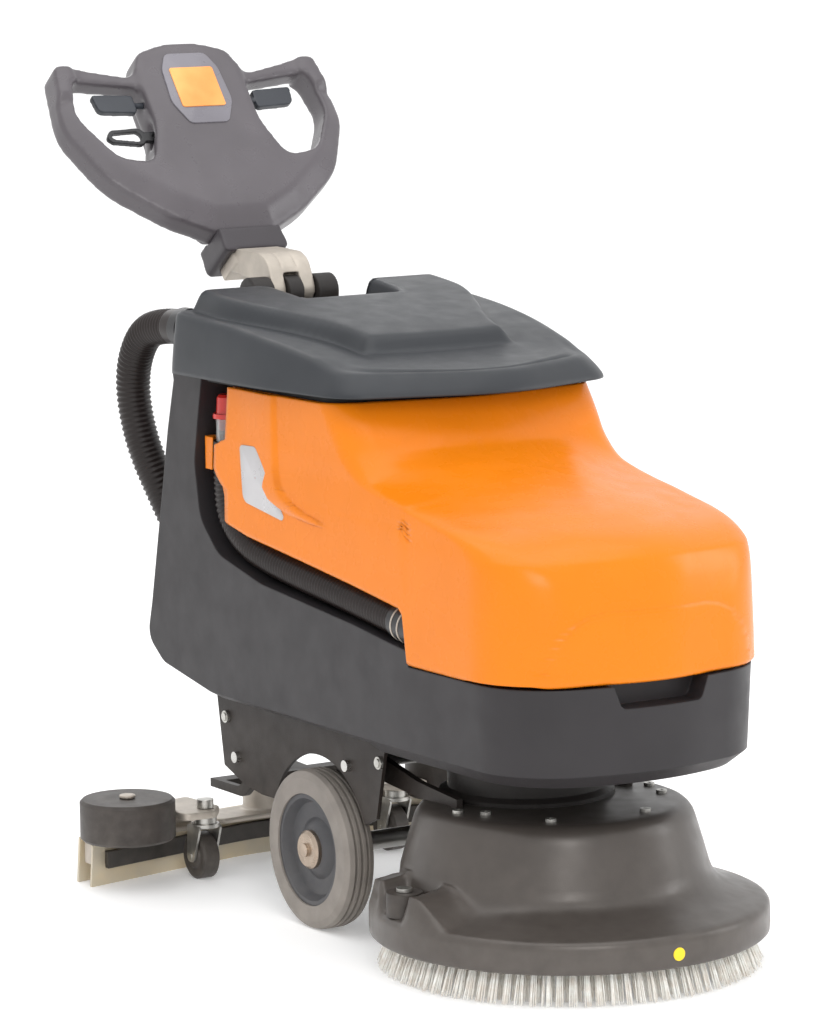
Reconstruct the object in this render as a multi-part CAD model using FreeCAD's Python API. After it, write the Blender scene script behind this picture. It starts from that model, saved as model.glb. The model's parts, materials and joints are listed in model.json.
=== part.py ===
"""Walk-behind wet and dry floor scrubber with a disc brush, in millimetres.

+Z is up and the machine drives towards -Y.  While it is being built, Y is counted back
from the brush's axis; save() then moves every piece so that the origin lies on the floor
under the middle of the machine.
"""
import FreeCAD
import Part

import math
import os

V = FreeCAD.Vector

# ---------------------------------------------------------------- driving dimensions
MID_Y = 301.5                 # middle of the machine's length, behind the brush's axis

BRUSH_R = 195.0               # brush's reach on the floor
RIM_R = 198.0                 # deck's rim
RIM_Z = (36.0, 64.0)
DOME_Y = 25.0                 # deck's dome lies a little behind the brush's axis
DECK_TOP = 158.0
MOTOR_Y, MOTOR_R, MOTOR_TOP = 74.0, 80.0, 268.0
BRUSH_PULLEY_R, MOTOR_PULLEY_R = 44.0, 16.0
BELT_Z = (118.0, 134.0)
DECK_HINGE = (205.0, 178.0)   # (y, z)

WHEEL_Y, WHEEL_R, WHEEL_W = 263.0, 82.5, 34.0
WHEEL_OUTER_X = 146.0
AXLE_R = 10.0
ROD_R = 6.0                   # the two hanging rods
ARCH_R = 97.0
PLATE_X = 130.0               # outer faces of the chassis's side plates
PLATE_T = 4.0
FRAME_TOP = 216.0

BASE_W = 156.0                # half width of the base at its flanks
PARTING = 305.0               # height of the line between the base and the tank's nose
BAY_X, BAY_Y, BAY_FLOOR, BAY_TOP = 108.0, (184.0, 405.0), 224.0, 405.0
WALL = 7.0
CHANNEL_X = 115.0             # the drain hose lies outside this, in its channel

TANK_WALL = 5.0
TANK_TOP = 549.0
TANK_REAR = 440.0
TANK_HALF_REAR = 157.0

LID_Z = 556.0
LID_REAR = 474.0
HINGE = (482.0, 612.0)        # (y, z) of the line on which the lid and the tank turn
HINGE_PIN_R = 4.0

PIVOT = (529.0, 625.0)        # (y, z) of the handle's pivot
PIVOT_PIN_R = 6.0
LEAN = math.radians(38.0)     # how far the handle leans back from upright
NECK = (594.0, 671.0)         # (y, z) of the neck's lower front edge

SQUEEGEE_HINGE = (430.0, 150.0)
SWIVEL_Y = 596.0
ROLLER = (204.0, 540.0)       # (x, y) of the bumper rollers
ROLLER_R, ROLLER_Z = 51.0, (52.0, 96.0)
CASTOR = (120.0, 521.0)       # (x, y) of the castors' swivels
CASTOR_TRAIL, CASTOR_R = 10.0, 25.0

RUNNING = 0.05                # radial play of a running fit
GAP = 0.6                     # between covers that move past each other
COLUMN_TOP = LID_Z - GAP

SIDES = (("left", -1), ("right", 1))


# ---------------------------------------------------------------- helpers
def save(name, *solids):
    """Write one sub-part, moved to the machine's own origin."""
    shape = solids[0] if len(solids) == 1 else Part.makeCompound(list(solids))
    moved = shape.copy()
    moved.translate(V(0, -MID_Y, 0))
    os.makedirs("parts", exist_ok=True)
    moved.exportStep("parts/%s.step" % name)


def rounded_wire(corners, place):
    """Closed wire through corners (a, b, radius), each rounded; place() maps (a, b) to space."""
    count = len(corners)
    runs = []
    for i, (a, b, radius) in enumerate(corners):
        here = V(a, b, 0)
        back = (V(*corners[i - 1][:2], 0) - here).normalize()
        on = (V(*corners[(i + 1) % count][:2], 0) - here).normalize()
        turn = math.pi - back.getAngle(on)
        if radius <= 0 or turn < 1e-3:
            runs.append((here, None, here))
            continue
        reach = radius * math.tan(turn / 2)
        bisector = (back + on).normalize()
        depth = radius / math.cos(turn / 2) - radius
        runs.append((here + back * reach, here + bisector * depth, here + on * reach))
    edges = []
    for i, (start, middle, end) in enumerate(runs):
        if middle is not None:
            edges.append(Part.Arc(place(start.x, start.y), place(middle.x, middle.y),
                                  place(end.x, end.y)).toShape())
        following = runs[(i + 1) % count][0]
        if end.distanceToPoint(following) > 1e-6:
            edges.append(Part.LineSegment(place(end.x, end.y),
                                          place(following.x, following.y)).toShape())
    return Part.Wire(edges)


def sharp(points):
    return [(a, b, 0) for a, b in points]


def plan_prism(corners, z0, z1):
    """Prism whose outline is drawn looking down."""
    wire = rounded_wire(corners, lambda a, b: V(a, b, z0))
    return Part.Face(wire).extrude(V(0, 0, z1 - z0))


def side_prism(corners, x0, x1):
    """Prism whose outline (y, z) is drawn looking along X."""
    wire = rounded_wire(corners, lambda a, b: V(x0, a, b))
    return Part.Face(wire).extrude(V(x1 - x0, 0, 0))


def box(x, y, z):
    """Box from three (low, high) pairs."""
    return Part.makeBox(x[1] - x[0], y[1] - y[0], z[1] - z[0], V(x[0], y[0], z[0]))


def rod_x(x0, x1, centre, radius):
    """Cylinder along X about centre (y, z)."""
    return Part.makeCylinder(radius, x1 - x0, V(x0, centre[0], centre[1]), V(1, 0, 0))


def rod_z(z0, z1, centre, radius):
    """Cylinder along Z about centre (x, y)."""
    return Part.makeCylinder(radius, z1 - z0, V(centre[0], centre[1], z0), V(0, 0, 1))


def turned_z(profile, centre):
    """Solid of revolution about a vertical line; profile is (radius, z) pairs."""
    wire = Part.makePolygon([V(centre[0] + r, centre[1], z) for r, z in profile + profile[:1]])
    return Part.Face(wire).revolve(V(centre[0], centre[1], 0), V(0, 0, 1), 360)


def turned_x(profile, centre):
    """Solid of revolution about a line along X; profile is (x, radius) pairs."""
    wire = Part.makePolygon([V(x, centre[0], centre[1] + r) for x, r in profile + profile[:1]])
    return Part.Face(wire).revolve(V(0, centre[0], centre[1]), V(1, 0, 0), 360)


def both(shape):
    """The shape and its mirror image across the middle of the machine."""
    return [shape, shape.mirror(V(0, 0, 0), V(1, 0, 0))]


def loft(sections):
    return Part.makeLoft(sections, True, True)


def tube(points, radius, bore=0.0):
    """Pipe along straight runs joined by tangent arcs; returns the solid and its radii."""
    corners = [V(*p) for p in points]
    edges, radii, start = [], [], corners[0]
    for before, here, after in zip(corners, corners[1:], corners[2:]):
        back = (before - here).normalize()
        on = (after - here).normalize()
        turn = math.pi - back.getAngle(on)
        reach = 0.45 * min((before - here).Length, (after - here).Length)
        radii.append(reach / math.tan(turn / 2))
        middle = (back + on).normalize() * (radii[-1] / math.cos(turn / 2) - radii[-1])
        edges.append(Part.LineSegment(start, here + back * reach).toShape())
        edges.append(Part.Arc(here + back * reach, here + middle, here + on * reach).toShape())
        start = here + on * reach
    edges.append(Part.LineSegment(start, corners[-1]).toShape())
    spine = Part.Wire(edges)
    along = (corners[1] - corners[0]).normalize()

    def swept(section_radius):
        ring = Part.Wire([Part.makeCircle(section_radius, corners[0], along)])
        return spine.makePipeShell([ring], True, False)

    solid = swept(radius)
    if bore > 0:
        solid = solid.cut(swept(bore))
    return solid, radii, spine.Length


# ---------------------------------------------------------------- chassis
def chassis_frame():
    """Folded steel frame: two side plates with wheel arches, a top plate and axle hangers."""
    plate = sharp([(131, FRAME_TOP), (151, 132), (178, 120), (381, 118), (417, 123),
                   (459, 137), (473, FRAME_TOP)])
    inner = PLATE_X - PLATE_T
    side = side_prism(plate, inner, PLATE_X)
    side = side.cut(rod_x(inner - 1, PLATE_X + 1, (WHEEL_Y, WHEEL_R), ARCH_R))
    top = box((-inner, inner), (182, 470), (FRAME_TOP - PLATE_T, FRAME_TOP))
    cross = box((-inner, inner), (222, 226), (186, FRAME_TOP - PLATE_T))
    hanger = box((90, 97), (WHEEL_Y - 20, WHEEL_Y + 20), (WHEEL_R - 20, FRAME_TOP - PLATE_T))
    rear = box((-inner, inner), (452, 456), (160, FRAME_TOP - PLATE_T))
    frame = top.fuse([cross, rear] + both(side) + both(hanger))
    frame = frame.cut(rod_x(-120, 120, (WHEEL_Y, WHEEL_R), AXLE_R))
    for centre in (DECK_HINGE, SQUEEGEE_HINGE):
        frame = frame.cut(rod_x(-inner - 5, inner + 5, centre, ROD_R))
    return frame.removeSplitter()


def cross_rods():
    """The wheels' axle, and the two rods that the deck and the squeegee arm hang from."""
    ends = PLATE_X + 5
    tip = WHEEL_OUTER_X - 6.4
    rods = [rod_x(-ends, ends, centre, ROD_R) for centre in (DECK_HINGE, SQUEEGEE_HINGE)]
    return [rod_x(-tip, tip, (WHEEL_Y, WHEEL_R), AXLE_R)] + rods


def frame_bolts():
    """Dome-headed bolts on the outside of both side plates."""
    bolts = []
    for centre in ((143, 191), (452, 190)):
        head = rod_x(PLATE_X, PLATE_X + 3, centre, 6.5)
        head = head.fuse(rod_x(PLATE_X + 3, PLATE_X + 4.5, centre, 4.5))
        bolts += both(head)
    return bolts


def base_outline(inset, rear):
    """Outline of the base, looking down: bowed front, wide round corners."""
    nose = 150 - inset
    flank = BASE_W - inset
    return [(flank, rear, 0), (flank, 70, 500), (nose, -140 + inset, 88),
            (0, -174 + inset, 250), (-nose, -140 + inset, 88), (-flank, 70, 500),
            (-flank, rear, 0)]


def base_section(z, inset):
    return rounded_wire(base_outline(inset, 600.0), lambda a, b: V(a, b, z))


def base_tank():
    """Solution tank: carries the batteries, the column behind them and the hose channel."""
    body = loft([base_section(207.5, 15), base_section(220, 3)])
    body = body.fuse(loft([base_section(220, 3), base_section(PARTING, 0)]))
    body = body.fuse(loft([base_section(PARTING, 0), base_section(COLUMN_TOP, 0)]))
    flank = [(-200, 200, 0), (118, 200, 0), (131, FRAME_TOP, 0), (423, FRAME_TOP, 0),
             (545, 238, 30), (577, 262, 20), (563, 303, 60), (543, 392, 200), (521, 491, 200),
             (503, COLUMN_TOP, 0), (446, COLUMN_TOP, 0), (456, 509, 60), (465, 462, 40), (455, 404, 40),
             (418, 370, 45), (330, 350, 80), (148, 333, 0), (46, 320, 8), (46, PARTING, 0),
             (-200, PARTING, 0)]
    body = body.common(side_prism(flank, -200, 200))
    wall = BAY_X + WALL
    bay_block = box((-wall, wall), (BAY_Y[0] - WALL, 418), (FRAME_TOP, BAY_TOP))
    body = body.fuse(bay_block)
    for socket in both(box((79, 88), (484, 503), (540, COLUMN_TOP))):
        body = body.fuse(socket)
    boss = side_prism(sharp([(495, 500), (520, 520), (527, COLUMN_TOP), (495, COLUMN_TOP)]), -146, -94)
    body = body.fuse(boss)
    body = body.cut(box((-BAY_X, BAY_X), BAY_Y, (BAY_FLOOR, BAY_TOP + 30)))
    body = body.cut(rod_z(200, 292, (0, 78), 96))
    body = body.cut(box((-96, 96), (78, 176), (200, 214)))
    water = [(120, -24, 0), (120, -90, 40), (0, -158, 200), (-120, -90, 40), (-120, -24, 0)]
    body = body.cut(plan_prism(water, 222, PARTING + 5))
    chamber = sharp([(426, 240), (540, 262), (527, 380), (503, 491), (494, 560), (472, 560),
                     (480, 500), (480, 440), (471, 400), (442, 372), (426, 364)])
    body = body.cut(side_prism(chamber, -100, 100))
    for slot in both(box((68.5, 79), (400, 530), (514, 570))):
        body = body.cut(slot)
    body = body.cut(front_notch()).cut(hose_trough())
    return body.removeSplitter()


def front_notch():
    """Finger notch under the tank's nose, at the middle of the base's front rim."""
    corners = [(-57, PARTING + 6, 0), (57, PARTING + 6, 0), (46, 283, 8), (-46, 283, 8)]
    wire = rounded_wire(corners, lambda a, b: V(a, -200, b))
    return Part.Face(wire).extrude(V(0, 62, 0))


def batteries():
    """Two sealed batteries side by side, each with two posts."""
    solids = []
    for side in (-1, 1):
        low, high = sorted((side * 2.0, side * (BAY_X - 4)))
        case = box((low, high), (BAY_Y[0] + 4, BAY_Y[1] - 4), (BAY_FLOOR, BAY_TOP - 14))
        for y in (BAY_Y[0] + 35, BAY_Y[1] - 35):
            case = case.fuse(rod_z(BAY_TOP - 14, BAY_TOP - 3, (side * 55.0, y), 7))
        solids.append(case)
    return solids


def vacuum_motor():
    """Suction motor in the column: fan housing below, motor can above."""
    centre = (45.0, 480.0)
    fan = rod_z(262, 300, centre, 36)
    can = rod_z(300, 358, centre, 28)
    foot = box((15, 75), (452, 506), (256, 262))
    return fan.fuse([can, foot])


def hinge_posts():
    """Two steel posts that carry the common hinge line of the lid and the tank."""
    inner, outer = 80.0, 86.5
    round_top = 7.4
    profile = [(484, COLUMN_TOP, 0), (503, COLUMN_TOP, 0),
               (HINGE[0] + round_top, HINGE[1] + round_top, round_top - 0.1),
               (HINGE[0] - round_top, HINGE[1] + round_top, round_top - 0.1),
               (HINGE[0] - 7, HINGE[1] - 10, 0)]
    post = side_prism(profile, inner, outer)
    post = post.cut(rod_x(inner - 1, outer + 1, HINGE, HINGE_PIN_R + RUNNING))
    return both(post)


def hose_elbow():
    """Elbow on the column's boss where the suction hose plugs in."""
    pipe, _, _ = tube([(-120, 506, COLUMN_TOP), (-120, 506, 594), (-120, 544, 594)], 17, 13)
    collar = Part.makeCylinder(21.5, 16, V(-120, 530, 594), V(0, 1, 0))
    collar = collar.cut(Part.makeCylinder(17, 16, V(-120, 530, 594), V(0, 1, 0)))
    return pipe.fuse(collar)


HOSE_ROUTE = [(-120, 546, 594), (-120, 585, 594), (-119, 640, 581), (-118, 672, 530),
              (-112, 664, 462), (-98, 636, 400), (-78, 612, 336), (-52, 604, 272),
              (-22, 604, 216), (0, SWIVEL_Y, 168), (0, SWIVEL_Y, 122.3)]


def vacuum_hose():
    """Suction hose, from the elbow down behind the column to the squeegee."""
    return tube(HOSE_ROUTE, 19, 15.5)


def handle_bracket():
    """Bracket on the column's rear that holds the handle: two barrels and a middle lug."""
    back = side_prism(sharp([(504, COLUMN_TOP - 40), (518, COLUMN_TOP - 40), (548, 612), (512, 612),
                             (500, COLUMN_TOP), (492, COLUMN_TOP)]), -52, 52)
    barrels = rod_x(-52, 52, PIVOT, 19)
    foot = box((-52, 52), (486, 503), (COLUMN_TOP, COLUMN_TOP + 8))
    body = back.fuse([barrels, foot])
    for slot in both(box((9, 27), (470, 560), (596, 660))):
        body = body.cut(slot)
    body = body.cut(rod_x(-60, 60, PIVOT, PIVOT_PIN_R + RUNNING))
    wall = side_prism(sharp([(480, 480), (523.5, 480), (521, 491), (503, COLUMN_TOP),
                             (480, COLUMN_TOP)]), -60, 60)
    return body.cut(wall).removeSplitter()


# ---------------------------------------------------------------- recovery tank
HOOD = (  # z, front at the middle, front at the corners, half width there, corner radius
    (309, -163, -134, 152, 80),
    (360, -161, -129, 152, 78),
    (401, -157, -121, 151.5, 70),
    (420, -152, -110, 151, 60),
    (428, -147, -95, 150.5, 52),
    (436, -138, -74, 150, 45),
    (443, -126, -45, 150, 40),
    (449, -108, -9, 150, 36),
    (455, -88, 25, 150, 34),
    (461, -60, 63, 150, 32),
    (468, -25, 98, 150, 32),
    (475, 10, 122, 150, 32),
    (484, 55, 136, 150.5, 32),
    (494, 98, 144, 151, 32),
    (503, 118, 150, 151, 32),
    (516, 130, 158, 151.5, 32),
    (532, 142, 169, 152, 32),
    (TANK_TOP, 152, 182, 152, 32),
)


def hood_section(row, inset, z=None):
    level, front, corner, half, radius = row
    height = level if z is None else z
    corners = [(TANK_HALF_REAR - inset, TANK_REAR - inset, 8),
               (half - inset, corner + inset, radius),
               (0, front + inset, 150),
               (inset - half, corner + inset, radius),
               (inset - TANK_HALF_REAR, TANK_REAR - inset, 8)]
    return rounded_wire(corners, lambda a, b: V(a, b, height))


def hood_loft(inset):
    return loft([hood_section(row, inset) for row in HOOD])


def recovery_skin():
    """Space of the tank behind its channel, which the hose clip must not enter."""
    return box((-CHANNEL_X, 0), (380, TANK_REAR), (440, 520))


def recovery_tank():
    """Dirty-water tank: its skin is the machine's hood, open upwards under the lid."""
    body = hood_loft(0)
    under = [(-200, 290), (46, 290), (46, 324), (148, 337), (330, 354), (414, 374),
             (450, 406), (460, 290)]
    bay = box((-BAY_X - WALL - 2, BAY_X + WALL + 2), (BAY_Y[0] - WALL - 2, 460), (290, BAY_TOP + 3))
    channel = [(46, 290, 0), (47, 360, 0), (246, 386, 300), (349, 399, 60), (392, 408, 15),
               (403, 438, 30), (414, 470, 6), (411, 489, 5), (387, 495, 6), (381, 545, 20),
               (379, 560, 0), (460, 560, 0), (460, 290, 0)]
    outside = [side_prism(sharp(under), -200, 200), bay, side_prism(channel, -200, -CHANNEL_X),
               hose_trough()]
    for tool in outside:
        body = body.cut(tool)
    cavity = hood_loft(TANK_WALL)
    cavity.translate(V(0, 0, -4))
    mouth = Part.Face(hood_section(HOOD[-1], TANK_WALL + 3, 530)).extrude(V(0, 0, 30))
    cavity = cavity.fuse(mouth)
    keep_under = [(-200, 290), (52, 290), (52, 342), (248, 354), (330, 361), (411, 381),
                  (450, 416), (460, 290)]
    keep_channel = [(40, 290), (41, 367), (246, 393), (347, 406), (386, 414), (396, 438),
                    (380, 489), (374, 560), (460, 560), (460, 290)]
    floor = box((-200, 200), (-200, 500), (290, 309 + TANK_WALL))
    bay_wall = box((-BAY_X - WALL - 7, BAY_X + WALL + 7), (BAY_Y[0] - WALL - 7, 460),
                   (290, BAY_TOP + 8))
    for tool in (side_prism(sharp(keep_under), -200, 200), floor, bay_wall,
                 side_prism(sharp(keep_channel), -200, TANK_WALL - CHANNEL_X)):
        cavity = cavity.cut(tool)
    body = body.cut(cavity)
    for ear in both(tank_ear()):
        body = body.fuse(ear)
    return body.removeSplitter()


def tank_ear():
    """Arm that reaches back through the column's slot and up to the hinge line."""
    start = TANK_REAR - 4
    profile = [(start, 518, 0), (488, 518, 10), (493, HINGE[1] + 7, 6),
               (HINGE[0] - 6.5, HINGE[1] + 7, 6), (475.5, 550, 0), (460, 546, 4),
               (start, 546, 0)]
    ear = side_prism(profile, 70, 78)
    return ear.cut(rod_x(69, 79, HINGE, HINGE_PIN_R + RUNNING))


def hinge_pins():
    """Pins of the hinge line; they stay in the lid's knuckles and turn in the ears and posts."""
    return both(rod_x(60.5, 88, HINGE, HINGE_PIN_R))


DRAIN_ROUTE = [(-138, 86, 344), (-138, 140, 351), (-137, 205, 358), (-136, 268, 364),
               (-135, 330, 371), (-135, 385, 382), (-135, 423, 408), (-134, 431, 446),
               (-134, 428, 486)]
DRAIN_R = 17.0


def drain_cuff(radius):
    """Straight cylinder from the tank's skirt to the start of the drain hose."""
    start, on = V(*DRAIN_ROUTE[0]), V(*DRAIN_ROUTE[1])
    along = (on - start).normalize()
    return Part.makeCylinder(radius, 39, start - along * 39, along)


def hose_trough():
    """Room for the drain hose where it sinks into the base and the tank."""
    return tube(DRAIN_ROUTE, DRAIN_R + 1)[0].fuse(drain_cuff(DRAIN_R + 2))


def drain_hose():
    """Drain hose, held in its channel for all of its length."""
    return tube(DRAIN_ROUTE, DRAIN_R, 13.5)


def drain_fittings():
    """Cuff where the drain hose leaves the tank, and the clear sleeve at its upper end."""
    cuff = drain_cuff(DRAIN_R + 1).cut(drain_cuff(13.5))
    x, y, z = DRAIN_ROUTE[-1]
    sleeve = rod_z(z, z + 24, (x, y), 14).cut(rod_z(z, z + 24, (x, y), 11.5))
    return [cuff, sleeve]


def hose_clip():
    """Block that holds the drain hose's upper end to the tank."""
    block = plan_prism([(-150, 430, 3), (-150, 456, 6), (-113, 456, 6), (-113, 404, 0),
                        (-114.9, 404, 0), (-114.9, 430, 0)], 456, 490)
    x, y, z = DRAIN_ROUTE[-1]
    block = block.cut(rod_z(z - 2, z + 20, (x, y), DRAIN_R + 0.3))
    return block.cut(tube(DRAIN_ROUTE, DRAIN_R + 0.3)[0]).cut(recovery_skin())


def drain_cap():
    """Plug of the drain hose: flange, grip and a stub inside the clear sleeve."""
    x, y, z = DRAIN_ROUTE[-1]
    low = z + 24 + 0.3
    stub = rod_z(low - 12, low, (x, y), 11.4)
    flange = rod_z(low, low + 5, (x, y), 17)
    grip = turned_z([(0, low + 5), (13.5, low + 5), (12.5, low + 22), (10, low + 25),
                     (0, low + 25)], (x, y))
    return flange.fuse([stub, grip])


def side_badge():
    """Plain triangular trim plate on the hood's left flank."""
    corners = [(390, 478, 10), (376, 486, 8), (300, 403, 6), (388, 424, 22)]
    face = Part.Face(rounded_wire(corners, lambda a, b: V(-TANK_HALF_REAR - 2.5, a, b)))
    plate = face.extrude(V(12, 0, 0))
    return plate.cut(hood_loft(0))


# ---------------------------------------------------------------- lid
def lid_outline(inset):
    return [(180 - inset, LID_REAR - inset, 18), (177 - inset, 300, 900),
            (157 - inset, 156 + inset, 52), (0, 92 + inset, 220 - 3 * inset),
            (inset - 157, 156 + inset, 52), (inset - 177, 300, 900),
            (inset - 180, LID_REAR - inset, 18)]


def lid_profile(drop):
    """Side outline of the lid, lowered by drop."""
    return [(60, LID_Z - 20, 0), (60, 566 - drop, 0), (150, 571 - drop, 80),
            (232, 603 - drop, 60), (353, 622 - drop, 300), (500, 628 - drop, 0),
            (500, LID_Z - 20, 0)]


WELL_X, WELL_FRONT, WELL_FLOOR = 60.0, 330.0, 588.0


def lid():
    """Tank lid with a well at its rear, in which the folded handle's arm lies."""
    body = plan_prism(lid_outline(0), LID_Z, 660).common(side_prism(lid_profile(0), -200, 200))
    well = box((-WELL_X, WELL_X), (WELL_FRONT, 500), (WELL_FLOOR, 700))
    body = body.cut(well)
    room = plan_prism(lid_outline(7), LID_Z + 5, 660).common(
        side_prism(lid_profile(7), -200, 200))
    room = room.cut(box((-WELL_X - 7, WELL_X + 7), (WELL_FRONT - 7, 500), (WELL_FLOOR - 7, 700)))
    body = body.cut(room)
    body = body.cut(plan_prism(lid_outline(36), LID_Z - 1, LID_Z + 6))
    for knuckle in both(lid_knuckle()):
        body = body.fuse(knuckle)
    return body.removeSplitter()


def lid_knuckle():
    profile = [(LID_REAR - 4, HINGE[1] - 24, 0), (HINGE[0] + 5, HINGE[1] - 10, 0),
               (HINGE[0] + 8, HINGE[1] + 8, 7), (LID_REAR - 4, HINGE[1] + 8, 0)]
    knuckle = side_prism(profile, 61, 68.5)
    return knuckle.cut(rod_x(60, 69, HINGE, HINGE_PIN_R))


def lid_seal():
    """Rubber gasket between the tank's rim and the lid."""
    row = HOOD[-1]
    outer = Part.Face(hood_section(row, 1, TANK_TOP + 0.4)).extrude(V(0, 0, 6.6))
    inner = Part.Face(hood_section(row, 9, TANK_TOP)).extrude(V(0, 0, 12))
    return outer.cut(inner)


# ---------------------------------------------------------------- handle
UP = V(0, math.sin(LEAN), math.cos(LEAN))          # along the handle
OUT = V(0, -math.cos(LEAN), math.sin(LEAN))        # out of its front face
NECK_POINT = V(0, NECK[0], NECK[1])


def on_handle(x, up, out=0.0):
    """Point of the handle: across, up along it, and out of its front face."""
    return NECK_POINT + V(x, 0, 0) + UP * up + OUT * out


def handle_plate(corners, out0, out1):
    """Plate with an outline (x, up) between two depths below or above the front face."""
    wire = rounded_wire(corners, lambda a, b: on_handle(a, b, out0))
    return Part.Face(wire).extrude(OUT * (out1 - out0))


def mirrored(corners):
    """Outline from its right half, listed from bottom to top."""
    return corners + [(-a, b, r) for a, b, r in reversed(corners)]


YOKE = mirrored([(36, 27, 8), (84, 52, 120), (142, 98, 90), (176, 168, 60), (164, 249, 10),
                 (150, 250, 6), (70, 231, 14), (56, 262, 16), (20, 272, 60)])
LOOP = [(66, 218, 10), (147, 229, 8), (156, 180, 45), (124, 124, 30), (84, 118, 14),
        (66, 165, 70)]
YOKE_DEPTH = 38.0             # of the rim; the hub is deeper
GRIP_OUT = (5.0, 29.0)        # front and back of the grips, below the front face
HUB_DEPTH = 58.0


def loops(out0, out1):
    left = [(-a, b, r) for a, b, r in reversed(LOOP)]
    return [handle_plate(LOOP, out0, out1), handle_plate(left, out0, out1)]


def grip_trims(out0, out1):
    """Slabs that leave each grip only as deep as a hand can hold."""
    corners = [(66, 208, 0), (139, 208, 0), (143, 262, 0), (66, 262, 0)]
    left = [(-a, b, r) for a, b, r in reversed(corners)]
    return [handle_plate(corners, out0, out1), handle_plate(left, out0, out1)]


def handle_front_shell():
    """Front half of the yoke that the operator's hands go round."""
    body = handle_plate(YOKE, 0, -YOKE_DEPTH / 2)
    for loop in loops(5, -YOKE_DEPTH) + grip_trims(5, -GRIP_OUT[0]):
        body = body.cut(loop)
    inner = mirrored([(20, 50, 8), (50, 60, 20), (52, 220, 12), (40, 250, 14), (10, 258, 30)])
    return body.cut(handle_plate(inner, -5, -YOKE_DEPTH))


def handle_back_shell():
    """Back half of the yoke, with the deeper hub."""
    body = handle_plate(YOKE, -YOKE_DEPTH / 2, -YOKE_DEPTH)
    for loop in loops(5, -HUB_DEPTH) + grip_trims(-GRIP_OUT[1], -HUB_DEPTH):
        body = body.cut(loop)
    hub = mirrored([(34, 40, 10), (60, 90, 40), (58, 215, 16), (46, 250, 16), (14, 262, 40)])
    body = body.fuse(handle_plate(hub, -YOKE_DEPTH / 2, -HUB_DEPTH))
    inner = mirrored([(20, 50, 8), (46, 92, 20), (46, 210, 12), (36, 240, 14), (10, 250, 30)])
    body = body.cut(handle_plate(inner, -YOKE_DEPTH / 2 + 1, -HUB_DEPTH + 5))
    return body.cut(power_hole())


def power_hole():
    centre = on_handle(0, 120, -HUB_DEPTH - 6)
    return Part.makeCylinder(11.5, 40, centre, OUT)


def neck_shell():
    """Cover round the arm's upper end, below the hub."""
    outer = mirrored([(40, -2, 6), (38, 30, 0)])
    body = handle_plate(outer, -2, -56)
    for shell in (handle_plate(YOKE, 5, -YOKE_DEPTH), handle_plate(
            mirrored([(34, 40, 10), (60, 90, 40), (58, 215, 16), (46, 250, 16), (14, 262, 40)]),
            -YOKE_DEPTH / 2, -HUB_DEPTH)):
        body = body.cut(shell)
    return body.cut(arm_core(0)).cut(handle_arm())


def arm_core(play):
    """Straight upper part of the arm, inside the neck and the hub."""
    corners = mirrored([(28 + play, -60, 0), (28 + play, 48 + play, 0)])
    return handle_plate(corners, -10 + play, -46 - play)


def handle_arm():
    """Cast arm: forked foot on the pivot, two grooves down its front."""
    upper = handle_plate(mirrored([(28, -14, 0), (28, 48, 0)]), -10, -46)
    y, z = PIVOT
    bridge = [(y - 13, z + 2, 12), (y + 4, z + 42, 30), (NECK[0] + 2, NECK[1] - 2, 0),
              (NECK[0] + 26, NECK[1] - 26, 0), (y + 40, z + 14, 20), (y + 13, z - 6, 12),
              (y, z - 16, 14)]
    lower = side_prism(bridge, -26, 26)
    lower = lower.cut(box((-9.6, 9.6), (y - 30, y + 24), (z - 30, z + 22)))
    for groove in both(box((8, 11), (y - 20, y + 60), (z + 26, z + 80))):
        shallow = side_prism(offset_front(bridge, 2.0), -30, 30)
        lower = lower.cut(groove.cut(shallow))
    arm = upper.fuse(lower)
    arm = arm.cut(rod_x(-40, 40, PIVOT, PIVOT_PIN_R))
    return arm.removeSplitter()


def offset_front(corners, depth):
    """The bridge's outline with its front edge set back by depth."""
    return [(a + depth, b - depth * 0.5, r) for a, b, r in corners[:3]] + corners[3:]


def pivot_pin():
    return rod_x(-56, 56, PIVOT, PIVOT_PIN_R)


def panel_inlay():
    """Lighter panel on the hub's front."""
    corners = mirrored([(16, 96, 22), (46, 150, 60), (46, 215, 30), (40, 252, 12)])
    return handle_plate(corners, 0, 1.6)


def front_badge():
    """Plain square plate on the panel."""
    return handle_plate(mirrored([(27, 184, 3), (27, 236, 3)]), 1.6, 2.8)


def control_panel():
    """Operator's panel on the hub's back, with a ring round the power button."""
    corners = mirrored([(34, 96, 8), (38, 200, 10)])
    plate = handle_plate(corners, -HUB_DEPTH, -HUB_DEPTH - 3)
    return plate.cut(power_hole())


def power_button():
    centre = on_handle(0, 120, -HUB_DEPTH - 7)
    return Part.makeCylinder(11.0, 12, centre, OUT)


PADDLE_OUT = -16.0
LEVER_PIVOT = (-66.0, 158.0)   # (across, up)


def paddle():
    """Drive paddle in the right-hand loop, on a stub shaft that enters the hub."""
    corners = [(75.5, 189, 4), (122, 192, 8), (125, 215, 3), (75.5, 212, 3)]
    blade = handle_plate(corners, PADDLE_OUT + 4, PADDLE_OUT - 4)
    start = on_handle(62, 200, PADDLE_OUT)
    shaft = Part.makeCylinder(3.5, 20, start, V(1, 0, 0))
    return blade.fuse(shaft)


def shaft_bore(side):
    start = on_handle(58 * side, 200, PADDLE_OUT)
    return Part.makeCylinder(3.55, 26, start, V(side, 0, 0))


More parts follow.
